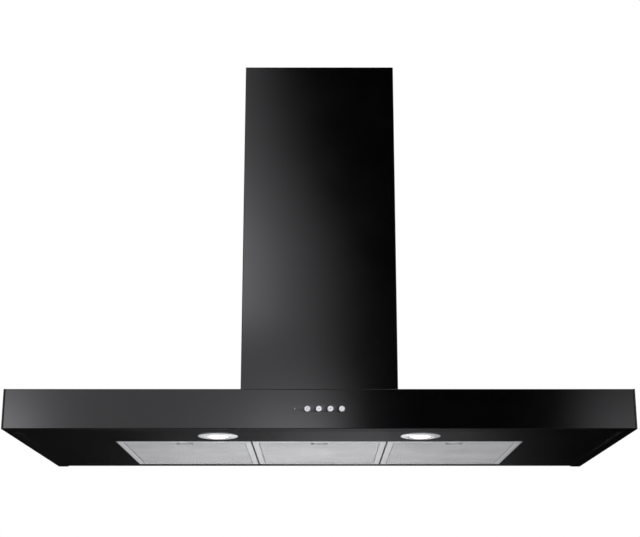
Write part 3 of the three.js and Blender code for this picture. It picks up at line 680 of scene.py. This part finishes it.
def rail(bm, outer, inner, low, high):
    """One side of a frame: a strip with mitred ends between two outer and two inner corners."""
    strip = bmesh.new()
    add_loop(strip, [Vector((x, y, low)) for x, y in (*outer, *reversed(inner))])
    bmesh.ops.contextual_create(strip, geom=strip.edges)
    give_thickness(strip, UP * (high - low))
    long_edges = []
    for edge in sharp_edges(strip):
        a, b = (v.co for v in edge.verts)
        run = (b - a).normalized()
        if abs(run.x) > 0.999 or abs(run.y) > 0.999:
            long_edges.append(edge)
    round_edges(strip, RAIL_ROUNDING, 3, long_edges)
    round_edges(strip, 0.12 * MM, 1)
    add_part(bm, strip)


def filter_frame(place):
    """Four mitred rails, two hooks at the back and a slot in front for the latch's tongue."""
    low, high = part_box("filter_frame_" + place)
    middle = (low.x + high.x) / 2
    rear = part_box("filter_mesh_" + place)[1].y + MESH_BITE
    outer = [(low.x, low.y), (high.x, low.y), (high.x, rear), (low.x, rear)]
    inner = [(low.x + RAIL, low.y + RAIL), (high.x - RAIL, low.y + RAIL),
             (high.x - RAIL, rear - RAIL), (low.x + RAIL, rear - RAIL)]
    slot_left, slot_right = ([(middle + x, low.y), (middle + x, low.y + RAIL)] for x in (-SLOT_HALF, SLOT_HALF))
    along_x = bmesh.new()
    rail(along_x, (outer[2], outer[3]), (inner[2], inner[3]), low.z, high.z)
    rail(along_x, (outer[0], slot_left[0]), (inner[0], slot_left[1]), low.z, high.z)
    rail(along_x, (slot_right[0], outer[1]), (slot_right[1], inner[1]), low.z, high.z)
    inset = Vector((-0.2, 0.15, 0.05)) * MM
    for z0, z1 in ((low.z, low.z + SLOT_LOW), (low.z + SLOT_HIGH, high.z)):
        corner = Vector((middle - SLOT_HALF, low.y, z0))
        opposite = Vector((middle + SLOT_HALF, low.y + RAIL, z1))
        add_box(along_x, corner + inset, opposite - inset, 0.3 * MM)
    for sign in (-1, 1):
        x = middle + sign * HOOK["from_middle"]
        corner = (x - HOOK["half"], rear - 1 * MM, high.z - HOOK["low"])
        add_box(along_x, corner, (x + HOOK["half"], high.y, high.z - HOOK["high"]), 0.4 * MM)
    body, nodes = "filter_" + place, ["filter_frame_" + place]
    make_piece("filter_rails_x_" + place, along_x, FRAME_X, body, nodes)
    along_y = bmesh.new()
    rail(along_y, (outer[1], outer[2]), (inner[1], inner[2]), low.z, high.z)
    rail(along_y, (outer[3], outer[0]), (inner[3], inner[0]), low.z, high.z)
    make_piece("filter_rails_y_" + place, along_y, FRAME_Y, body)


def lattice(x0, x1, y0, y1, z, facing):
    """Expanded metal: diamonds with sloping strands round their openings."""
    bm = bmesh.new()
    reach = max((x1 - x0) / STRAND["long"], (y1 - y0) / STRAND["short"])
    cells = int(2 * reach) + 2
    bmesh.ops.create_grid(bm, x_segments=cells, y_segments=cells, size=cells / 2)
    bmesh.ops.rotate(bm, cent=(0, 0, 0), matrix=Matrix.Rotation(math.pi / 4, 3, "Z"), verts=bm.verts)
    diagonal = math.sqrt(2)
    bmesh.ops.scale(bm, vec=(STRAND["long"] / diagonal, STRAND["short"] / diagonal, 1), verts=bm.verts)
    bmesh.ops.translate(bm, vec=((x0 + x1) / 2, (y0 + y1) / 2, z), verts=bm.verts)
    for point, normal in (((x0, 0, 0), -RIGHT), ((x1, 0, 0), RIGHT), ((0, y0, 0), FRONT), ((0, y1, 0), BACK)):
        geom = list(bm.verts) + list(bm.edges) + list(bm.faces)
        bmesh.ops.bisect_plane(bm, geom=geom, plane_co=point, plane_no=normal, clear_outer=True)
    if facing < 0:
        bmesh.ops.reverse_faces(bm, faces=bm.faces)
    openings = list(bm.faces)
    bmesh.ops.inset_individual(bm, faces=openings, thickness=STRAND["width"], depth=-STRAND["drop"])
    bmesh.ops.delete(bm, geom=openings, context="FACES_ONLY")
    return bm


def filter_mesh(place):
    """The cassette: expanded mesh on both faces and, between them, a block for the inner layers, darkened as
    painted shade.
    """
    low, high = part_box("filter_mesh_" + place)
    tray_low, tray_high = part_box("latch_tray_" + place)
    x0, x1 = low.x + CORE_MARGIN, high.x - CORE_MARGIN
    y0, y1 = low.y + CORE_MARGIN, high.y - CORE_MARGIN
    behind_tray = tray_high.y + TRAY_GAP
    core = bmesh.new()
    for left, right, front, rear in (
        (x0, x1, behind_tray, y1),
        (x0, tray_low.x - TRAY_GAP, y0, behind_tray),
        (tray_high.x + TRAY_GAP, x1, y0, behind_tray),
    ):
        add_box(core, (left, front, low.z + CORE_DEPTH), (right, rear, high.z - CORE_DEPTH))
    body = "filter_" + place
    make_piece("mesh_core_" + place, core, PAINTED_SHADE_LAYERS, body, ["filter_mesh_" + place])
    inset = RAIL + REVEAL - MESH_BITE
    for side, z, facing in (("under", low.z, -1), ("upper", high.z, 1)):
        bm = lattice(low.x + inset, high.x - inset, low.y + inset, high.y - inset, z, facing)
        cut_lattice(bm, tray_low, tray_high)
        make_piece(f"mesh_{side}_{place}", bm, MESH, body, smooth=20)


def cut_lattice(bm, tray_low, tray_high):
    """Clears the lattice where the finger recess sits."""
    covered = []
    for face in bm.faces:
        at = face.calc_center_median()
        if tray_low.x < at.x < tray_high.x and at.y < tray_high.y:
            covered.append(face)
    bmesh.ops.delete(bm, geom=covered, context="FACES")


def finger_recess(place):
    """The recess for a fingertip: a pressed tray with rounded edges and a slot for the tongue."""
    low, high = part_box("latch_tray_" + place)
    middle = (low.x + high.x) / 2
    left, right, rear, top = low.x + SHEET, high.x - SHEET, high.y - SHEET, high.z - SHEET
    bm = bmesh.new()
    add_box(bm, (low.x, low.y, top), high, 0.3 * MM)
    add_box(bm, (low.x, rear, low.z), (high.x, high.y, top), 0.4 * MM)
    for x0, x1 in ((low.x, left), (right, high.x)):
        add_box(bm, (x0, low.y, low.z), (x1, rear, top), 0.4 * MM)
    for x0, x1 in ((left, middle - SLOT_HALF), (middle + SLOT_HALF, right)):
        add_box(bm, (x0, low.y, low.z), (x1, low.y + SHEET, top), 0.4 * MM)
    for z0, z1 in ((low.z, low.z + SLOT_LOW), (low.z + SLOT_HIGH, top)):
        add_box(bm, (middle - SLOT_HALF, low.y, z0), (middle + SLOT_HALF, low.y + SHEET, z1), 0.3 * MM)
    nodes = ["latch_tray_" + place]
    make_piece("finger_recess_" + place, bm, FRAME_X, "filter_" + place, nodes)


def filter_latch(place):
    """The sliding latch: a tongue, a block with grip ribs and a pull."""
    low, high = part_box("filter_latch_" + place)
    middle = (low.x + high.x) / 2
    block_front = high.y - 9 * MM
    tongue_half, tongue_low, tongue_high = 7 * MM, low.z + 4.5 * MM, low.z + 6.3 * MM
    bm = bmesh.new()
    tongue_rear = (middle + tongue_half, block_front + 2 * MM, tongue_high)
    add_box(bm, (middle - tongue_half, low.y, tongue_low), tongue_rear, 0.5 * MM)
    add_box(bm, (low.x, block_front, low.z + 1.8 * MM), high, 0.7 * MM, 3)
    add_box(bm, (low.x, high.y - 2.5 * MM, low.z), (high.x, high.y, high.z - 1 * MM), 0.8 * MM, 3)
    for i in range(4):
        y = block_front + (1.2 + 1.5 * i) * MM
        rib_low = (low.x + 2 * MM, y, low.z + 1.4 * MM)
        add_box(bm, rib_low, (high.x - 2 * MM, y + 0.7 * MM, low.z + 2.6 * MM), 0.25 * MM)
    nodes = ["filter_latch_" + place]
    make_piece("latch_slider_" + place, bm, LATCH_PLASTIC, "latch_" + place, nodes)


# ---------------------------------------------------------------- lamps
LAMP_RING = (
    (36.0, 1.2), (35.8, 0.85), (35.2, 0.6), (33.5, 0.25), (30.5, -0.3), (27.5, -0.68), (25.0, -0.8),
    (23.4, -0.65), (22.4, -0.2), (22.0, 0.5), (22.0, 2.9), (29.6, 2.9), (29.6, 14.0), (30.8, 14.0),
    (30.8, 1.2),
)
DOME_RADIUS, DOME_FLANGE, DOME_SHELF = 21.6, 26.6, 3.2  # like the ring's points, in millimetres
DOME_STEPS = 14


def lamp_trim(side):
    """A chrome ring that stands a little proud of the underside."""
    bm = spun(LAMP_RING, lamp_place(side), steps=96)
    make_piece("lamp_ring_" + side, bm, CHROME, "hood", ["lamp_trim_" + side])


def painted_notch_shade(side):
    """A small black block on the ring: painted shade standing in for the notch by which the ring is levered out.
    """
    at = lamp_place(side) + Vector((30.5 * MM, 0, -0.3 * MM))
    bm = bmesh.new()
    add_box(bm, at - Vector((0.9, 0.6, 0.1)) * MM, at + Vector((0.9, 0.6, 0.3)) * MM, 0.08 * MM)
    # The black plastic is painted shade, where a notch in the ring would be in shadow.
    make_piece("painted_notch_shade_" + side, bm, BLACK_PLASTIC, "hood")


def lamp_dome(side):
    """The frosted glass, domed below the ring."""
    crown = (UNDERSIDE_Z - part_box("lamp_glass_" + side)[0].z) / MM
    profile = []
    for i in range(DOME_STEPS + 1):
        share = math.sin(math.pi / 2 * i / DOME_STEPS)
        depth = (DOME_SHELF + crown) * math.sqrt(1 - share * share)
        profile.append((DOME_RADIUS * share, DOME_SHELF - depth))
    profile += [(DOME_FLANGE, DOME_SHELF), (DOME_FLANGE, DOME_SHELF + 2), (0, DOME_SHELF + 2)]
    bm = spun(profile, lamp_place(side))
    make_piece("lamp_dome_" + side, bm, LIT_GLASS, "hood", ["lamp_glass_" + side])


# ---------------------------------------------------------------- controls
def reach_of(node):
    """How far a node stands out of the fascia and how far it goes in, in millimetres."""
    low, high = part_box(node)
    return (FRONT_Y - low.y) / MM, (high.y - FRONT_Y) / MM


def push_button(use):
    """A round cap with a rounded edge and a slight dish, on its stem."""
    node = "button_" + use
    proud, stem = reach_of(node)
    profile = [
        (0, proud - 0.12), (2.2, proud - 0.1), (3.4, proud - 0.03), (3.9, proud), (4.35, proud - 0.12),
        (4.75, proud - 0.42), (4.95, proud - 0.8), (5, proud - 1.2), (5, -1.9), (6.3, -1.9), (6.3, -2.6),
        (1.8, -2.6), (1.8, -stem), (0, -stem),
    ]
    bm = spun(profile, on_front(node), FRONT, 48)
    make_piece("cap_" + use, bm, SILVER, node, [node])


def indicator():
    """The indicator's light pipe, with a rounded tip."""
    node = "indicator_lens"
    proud, stem = reach_of(node)
    profile = [
        (0, proud), (0.7, proud - 0.06), (1.2, proud - 0.22), (1.5, proud - 0.6), (1.5, -1.6), (2.5, -1.6),
        (2.5, -2.6), (1.5, -2.6), (1.5, -stem), (0, -stem),
    ]
    bm = spun(profile, on_front(node), FRONT, 32)
    make_piece("indicator_tip", bm, GREY_PLASTIC, "hood", [node])


def strip_mark(bm, face, rise, width, height):
    """A flat bar on a cap's face. Its rise above the middle and its sizes are in millimetres."""
    centre = face + UP * rise * MM
    corner = Vector((width / 2, 0.06, height / 2)) * MM
    opposite = Vector((width / 2, 0.12, height / 2)) * MM
    add_box(bm, centre - corner, centre + opposite)


def ring_mark(bm, face, rise, outer, inner):
    """A flat ring on a cap's face, given in the same way."""
    ring = bmesh.new()
    edges = []
    for radius in (outer, inner):
        edges += add_loop(ring, circle_loop(face + UP * rise * MM, radius * MM, RIGHT, UP, 24))
    bmesh.ops.bridge_loops(ring, edges=edges)
    give_thickness(ring, BACK * 0.15 * MM)
    add_part(bm, ring)


def button_mark(use):
    """A plain sign on each cap: standby, less, more and light."""
    face = on_front("button_" + use)
    face.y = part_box("button_" + use)[0].y + 0.07 * MM
    bm = bmesh.new()
    if use == "off":
        ring_mark(bm, face, 0, 2.3, 1.75)
        strip_mark(bm, face, 1.6, 0.55, 2.4)
    elif use == "lamp":
        ring_mark(bm, face, 0.35, 1.7, 1.2)
        strip_mark(bm, face, -1.9, 1.5, 0.5)
    else:
        strip_mark(bm, face, 0, 3.6, 0.75)
    if use == "plus":
        for rise in (1.12, -1.12):
            strip_mark(bm, face, rise, 0.75, 1.42)
    make_piece("mark_" + use, bm, MARKS, "button_" + use)


# ---------------------------------------------------------------- screws
SCREW_HEAD = ((0, 1.35), (1.3, 1.25), (2.21, 0.85), (2.6, 0.3), (2.6, -0.1), (0, -0.1))
FLANGE_SCREWS = 80 * MM  # their distance from the middle of the collar
FLANGE = 1.5 * MM


def screws():
    """The screws that show from behind and from above, on the collar's flange and on the terminal box."""
    places = []
    collar = middle_of("outlet_collar")
    collar.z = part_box("outlet_collar")[0].z + FLANGE
    for i in range(4):
        turn = math.radians(45 + 90 * i)
        places.append(collar + Vector((math.cos(turn), math.sin(turn), 0)) * FLANGE_SCREWS)
    low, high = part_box("terminal_box_cover")
    for x in (low.x + 7 * MM, high.x - 7 * MM):
        places.append(Vector((x, (low.y + high.y) / 2, high.z)))
    bm = bmesh.new()
    for place in places:
        add_part(bm, spun(SCREW_HEAD, place, steps=20))
    make_piece("case_screws", bm, STEEL, "hood")


# ---------------------------------------------------------------- studio
def light(name, place, target, size, power):
    """A soft lamp that neither the camera nor the gloss sees."""
    data = bpy.data.lights.new(name, "AREA")
    data.shape = "RECTANGLE"
    data.size, data.size_y = size
    data.energy = power
    lamp = bpy.data.objects.new(name, data)
    lamp.location = place
    lamp.rotation_euler = (Vector(target) - Vector(place)).to_track_quat("-Z", "Y").to_euler()
    lamp.visible_camera = False
    lamp.visible_glossy = False
    bpy.context.scene.collection.objects.link(lamp)


def make_floor():
    """A pale disc far below the hood, which the gloss doesn't mirror."""
    place = Matrix.Translation((0, -0.3, UNDERSIDE_Z - 2.1))
    bm = bmesh.new()
    bmesh.ops.create_circle(bm, cap_ends=True, radius=4.5, segments=96, matrix=place)
    mesh = bpy.data.meshes.new("floor")
    bm.to_mesh(mesh)
    bm.free()
    pale = Finish("pale_floor", (0.8, 0.8, 0.79), 0.6)
    pale.tinted(pale.noise(2, 3), (0.78, 0.78, 0.77), (0.82, 0.82, 0.81))
    mesh.materials.append(pale.material)
    floor = bpy.data.objects.new("floor", mesh)
    floor.visible_glossy = False
    bpy.context.scene.collection.objects.link(floor)


# Brightness of the studio's soft panels, as (place, value) pairs along one measure of a direction: "across" is
# x / |y| and "up" is z / |y|. A panel is the product of two curves, one that reads across and one, ending in
# _UP, that reads up. FRONT_WALL and LEFT_GAIN read across less EDGE_SHIFT, a curve of up, which slants their
# edge. SIDE_WALL reads |across|, and SIDE_WALL_UP and OVERHEAD read z itself. ABOVE_FLOOR dims all the front
# panels, which lie where y < 0. The rear ones lie where y > 0; the side walls, FLOOR and OVERHEAD on both sides.
FRONT_WALL = ((-1.5, 0.0), (-0.8, 0.1), (-0.4, 0.9), (-0.1, 1.1), (-0.02, 1.12), (-0.0125, 0.92), (0.0, 0.64),
              (0.0115, 0.38), (0.02, 0.18), (0.03, 0.03), (0.04, 0.0), (0.5, 0.0))
EDGE_SHIFT = ((0.1, 0.014), (0.178, 0.0133), (0.207, 0.006), (0.245, 0.004), (0.293, 0.0), (0.341, -0.012),
              (0.389, -0.03), (0.437, -0.046), (0.5, -0.056), (1.5, -0.1))
LEFT_GAIN = ((-0.2, 0.0), (-0.12, 1.0), (-0.08, 1.6), (-0.06, 1.2), (-0.04, 0.55),
             (-0.025, 0.12), (-0.0125, 0.0), (0.1, 0.0))
LEFT_GAIN_UP = ((0.0, 0.0), (0.215, 0.0), (0.25, 1.1), (0.3, 1.5), (0.36, 1.25),
                (0.42, 0.95), (0.5, 0.75), (0.8, 0.0))
CORNER = ((-0.5, 0.0), (-0.32, 0.9), (-0.262, 1.0), (-0.245, 0.72), (-0.225, 0.3),
          (-0.2, 0.06), (-0.17, 0.0), (0.1, 0.0))
CORNER_UP = ((0.0, 4.6), (0.158, 4.2), (0.195, 1.6), (0.3, 0.5), (0.5, 0.0))
MIDDLE = ((-0.13, 0.0), (-0.09, 0.15), (-0.06, 0.45), (-0.025, 1.0), (0.0, 0.85),
          (0.02, 0.25), (0.035, 0.0), (0.1, 0.0))
MIDDLE_UP = ((0.0, 2.2), (0.158, 2.0), (0.175, 1.1), (0.195, 0.45), (0.24, 0.0), (0.5, 0.0))
RIGHT_WALL = ((0.0, 0.0), (0.192, 0.0), (0.207, 0.22), (0.232, 0.8), (0.262, 1.0),
              (0.33, 1.1), (0.6, 0.0), (1.0, 0.0))
RIGHT_WALL_UP = ((0.0, 1.8), (0.158, 1.55), (0.195, 0.72), (0.3, 0.35), (0.6, 0.0))
ABOVE_FLOOR = ((-0.6, 0.0), (-0.25, 1.0), (0.55, 1.0), (0.9, 0.05), (3.0, 0.05))
FLOOR = ((-3.0, 0.06), (-1.2, 0.05), (-0.5, 0.01), (-0.27, 0.0), (0.3, 0.0))
REAR_LOW = ((-0.6, 0.0), (-0.25, 0.7), (-0.1, 2.4), (0.0, 2.9), (0.06, 2.5), (0.2, 0.5), (0.45, 0.0))
REAR_LOW_UP = ((-2.5, 0.0), (-0.8, 0.0), (-0.5, 0.7), (-0.3, 0.7), (-0.22, 0.0), (0.1, 0.0))
REAR_GLOW = ((-0.3, 0.008), (-0.182, 0.01), (-0.149, 0.02), (-0.116, 0.045), (-0.057, 0.07), (-0.032, 0.1),
             (0.0, 0.15), (0.034, 0.16), (0.059, 0.115), (0.117, 0.068), (0.15, 0.03), (0.184, 0.01),
             (0.217, 0.004), (0.5, 0.004))
REAR_GLOW_UP = ((-0.6, 0.0), (-0.2, 0.45), (-0.18, 0.62), (-0.162, 0.9),
                (-0.15, 1.0), (0.55, 1.0), (0.9, 0.05))
REAR_HIGH = ((0.0, 0.0), (0.25, 0.25), (0.6, 0.6), (1.2, 0.5), (3.0, 0.3))
SIDE_WALL = ((0.42, 0.0), (0.6, 0.22), (1.0, 0.5), (1.6, 0.8), (3.0, 0.55))
SIDE_WALL_UP = ((-0.75, 0.03), (-0.5, 0.1), (-0.3, 0.5), (0.0, 0.9), (0.35, 0.75),
                (0.8, 0.35), (1.0, 0.3))
OVERHEAD = ((0.62, 0.0), (0.75, 0.3), (0.88, 0.55), (1.0, 0.45))


class Sky:
    """Nodes for a brightness that depends on direction."""

    def __init__(self, tree):
        self.tree = tree

    def math(self, operation, *values):
        made = self.tree.nodes.new("ShaderNodeMath")
        made.operation = operation
        for socket, value in zip(made.inputs, values):
            if isinstance(value, (int, float)):
                socket.default_value = value
            else:
                self.tree.links.new(value, socket)
        return made.outputs["Value"]

    def curve(self, value, points):
        """A brightness along a value, drawn through the points with soft joins."""
        low, high = points[0][0], points[-1][0]
        floor = min(0.0, min(height for _, height in points))
        peak = max(height for _, height in points) - floor
        made = self.tree.nodes.new("ShaderNodeFloatCurve")
        line = made.mapping.curves[0]
        places = [((at - low) / (high - low), (height - floor) / peak) for at, height in points]
        line.points[0].location = places[0]
        line.points[1].location = places[-1]
        for place in places[1:-1]:
            line.points.new(*place)
        for point in line.points:
            point.handle_type = "AUTO_CLAMPED"
        made.mapping.update()
        share = self.math("DIVIDE", self.math("SUBTRACT", value, low), high - low)
        clamped = self.math("MINIMUM", self.math("MAXIMUM", share, 0.0), 1.0)
        self.tree.links.new(clamped, made.inputs["Value"])
        return self.math("ADD", self.math("MULTIPLY", made.outputs["Value"], peak), floor)

    def panel(self, across, points, up, points_up):
        return self.math("MULTIPLY", self.curve(across, points), self.curve(up, points_up))

    def total(self, values):
        whole = values[0]
        for value in values[1:]:
            whole = self.math("ADD", whole, value)
        return whole


def make_world():
    """White to the eye, and a dim studio with soft bright panels for everything that reflects it."""
    world = bpy.data.worlds.new("studio")
    world.use_nodes = True
    bpy.context.scene.world = world
    tree = world.node_tree
    tree.nodes.clear()
    node, link = tree.nodes.new, tree.links.new
    sky = Sky(tree)
    axes = node("ShaderNodeSeparateXYZ")
    link(node("ShaderNodeTexCoord").outputs["Generated"], axes.inputs["Vector"])
    x, y, z = axes.outputs
    depth = sky.math("MAXIMUM", sky.math("ABSOLUTE", y), 0.001)
    across = sky.math("DIVIDE", x, depth)
    up = sky.math("DIVIDE", z, depth)
    from_edge = sky.math("SUBTRACT", across, sky.curve(up, EDGE_SHIFT))
    panels = [
        sky.curve(from_edge, FRONT_WALL),
        sky.panel(from_edge, LEFT_GAIN, up, LEFT_GAIN_UP),
        sky.panel(across, CORNER, up, CORNER_UP),
        sky.panel(across, MIDDLE, up, MIDDLE_UP),
        sky.panel(across, RIGHT_WALL, up, RIGHT_WALL_UP),
    ]
    front = sky.math("MULTIPLY", sky.total(panels), sky.curve(up, ABOVE_FLOOR))
    rear = sky.total([
        sky.panel(across, REAR_GLOW, up, REAR_GLOW_UP),
        sky.panel(across, REAR_LOW, up, REAR_LOW_UP),
        sky.curve(up, REAR_HIGH),
    ])
    behind = sky.math("GREATER_THAN", y, 0.0)
    level = sky.total([
        sky.math("MULTIPLY", rear, behind),
        sky.math("MULTIPLY", front, sky.math("SUBTRACT", 1.0, behind)),
        sky.curve(up, FLOOR),
        sky.panel(sky.math("ABSOLUTE", across), SIDE_WALL, z, SIDE_WALL_UP),
        sky.curve(z, OVERHEAD),
    ])
    out = node("ShaderNodeOutputWorld")
    mix = node("ShaderNodeMixShader")
    path = node("ShaderNodeLightPath")
    seen, felt = node("ShaderNodeBackground"), node("ShaderNodeBackground")
    seen.inputs["Color"].default_value = (1, 1, 1, 1)
    felt.inputs["Color"].default_value = (0.96, 0.96, 1, 1)
    link(level, felt.inputs["Strength"])
    link(path.outputs["Is Camera Ray"], mix.inputs["Fac"])
    link(felt.outputs["Background"], mix.inputs[1])
    link(seen.outputs["Background"], mix.inputs[2])
    link(mix.outputs["Shader"], out.inputs["Surface"])


def make_lights():
    """Three soft lamps round the hood, and a small one below it that brings out the filters."""
    light("key", (-3.2, -4.6, 2.6), (0, -0.3, 0), (2.4, 2.4), 120)
    light("overhead", (0, -0.6, 4.2), (0, -0.3, 0), (3, 2), 100)
    light("rear", (2.4, 3.6, 2.4), (0, -0.2, 0.2), (2, 2), 100)
    light("filters", (-0.04, -0.27, UNDERSIDE_Z - 0.38), (-0.04, -0.27, UNDERSIDE_Z), (0.2, 0.2), 1.85)


# ---------------------------------------------------------------- assembly
front_fascia()
top_sheet()
underside_sheet()
lower_cover()
upper_cover()
for side, sign in SIDES:
    side_panel(side, sign)
    lamp_trim(side)
    painted_notch_shade(side)
    lamp_dome(side)
    dress("chimney_foot_" + side, ZINC)
    dress("bracket_screw_" + side, STEEL, 0.2 * MM)
    dress("scroll_" + side, BLOWER_PLASTIC, 0.6 * MM)
    dress("damper_flap_" + side, BLACK_PLASTIC, 0.2 * MM)
    dress("lamp_can_" + side, CAN, 0)
    dress("lamp_bulb_" + side, CLEAR_GLASS, 0)
    dress("lamp_lead_" + side, RUBBER, 0)
for place in FILTERS:
    filter_frame(place)
    filter_mesh(place)
    finger_recess(place)
    filter_latch(place)
for use in BUTTONS:
    push_button(use)
    button_mark(use)
indicator()
screws()
for node in ("motor_box", "mounting_plate", "chimney_bracket", "motor_spider"):
    dress(node, ZINC, 0.3 * MM)
dress("rear_panel", ENAMEL, 0.3 * MM)
dress("motor_body", MOTOR_PAINT, 1 * MM)
dress("motor_shaft", STEEL)
dress("damper_pin", STEEL, 0.2 * MM)
dress("impeller", BLOWER_PLASTIC, 0)
dress("outlet_collar", BLACK_PLASTIC, 0)
dress("terminal_box", BLACK_PLASTIC)
dress("terminal_box_cover", BLACK_PLASTIC, 0.6 * MM)
dress("cable_gland", GREY_PLASTIC)
dress("capacitor", GREY_PLASTIC, 0.8 * MM)
dress("lamp_transformer", BLACK_PLASTIC, 0.8 * MM)
dress("control_housing", BLACK_PLASTIC, 0.5 * MM)
dress("control_board", CIRCUIT, 0.2 * MM)
dress("motor_lead", RUBBER, 0)

make_floor()
make_world()
make_lights()
bpy.context.scene.view_settings.view_transform = "Standard"
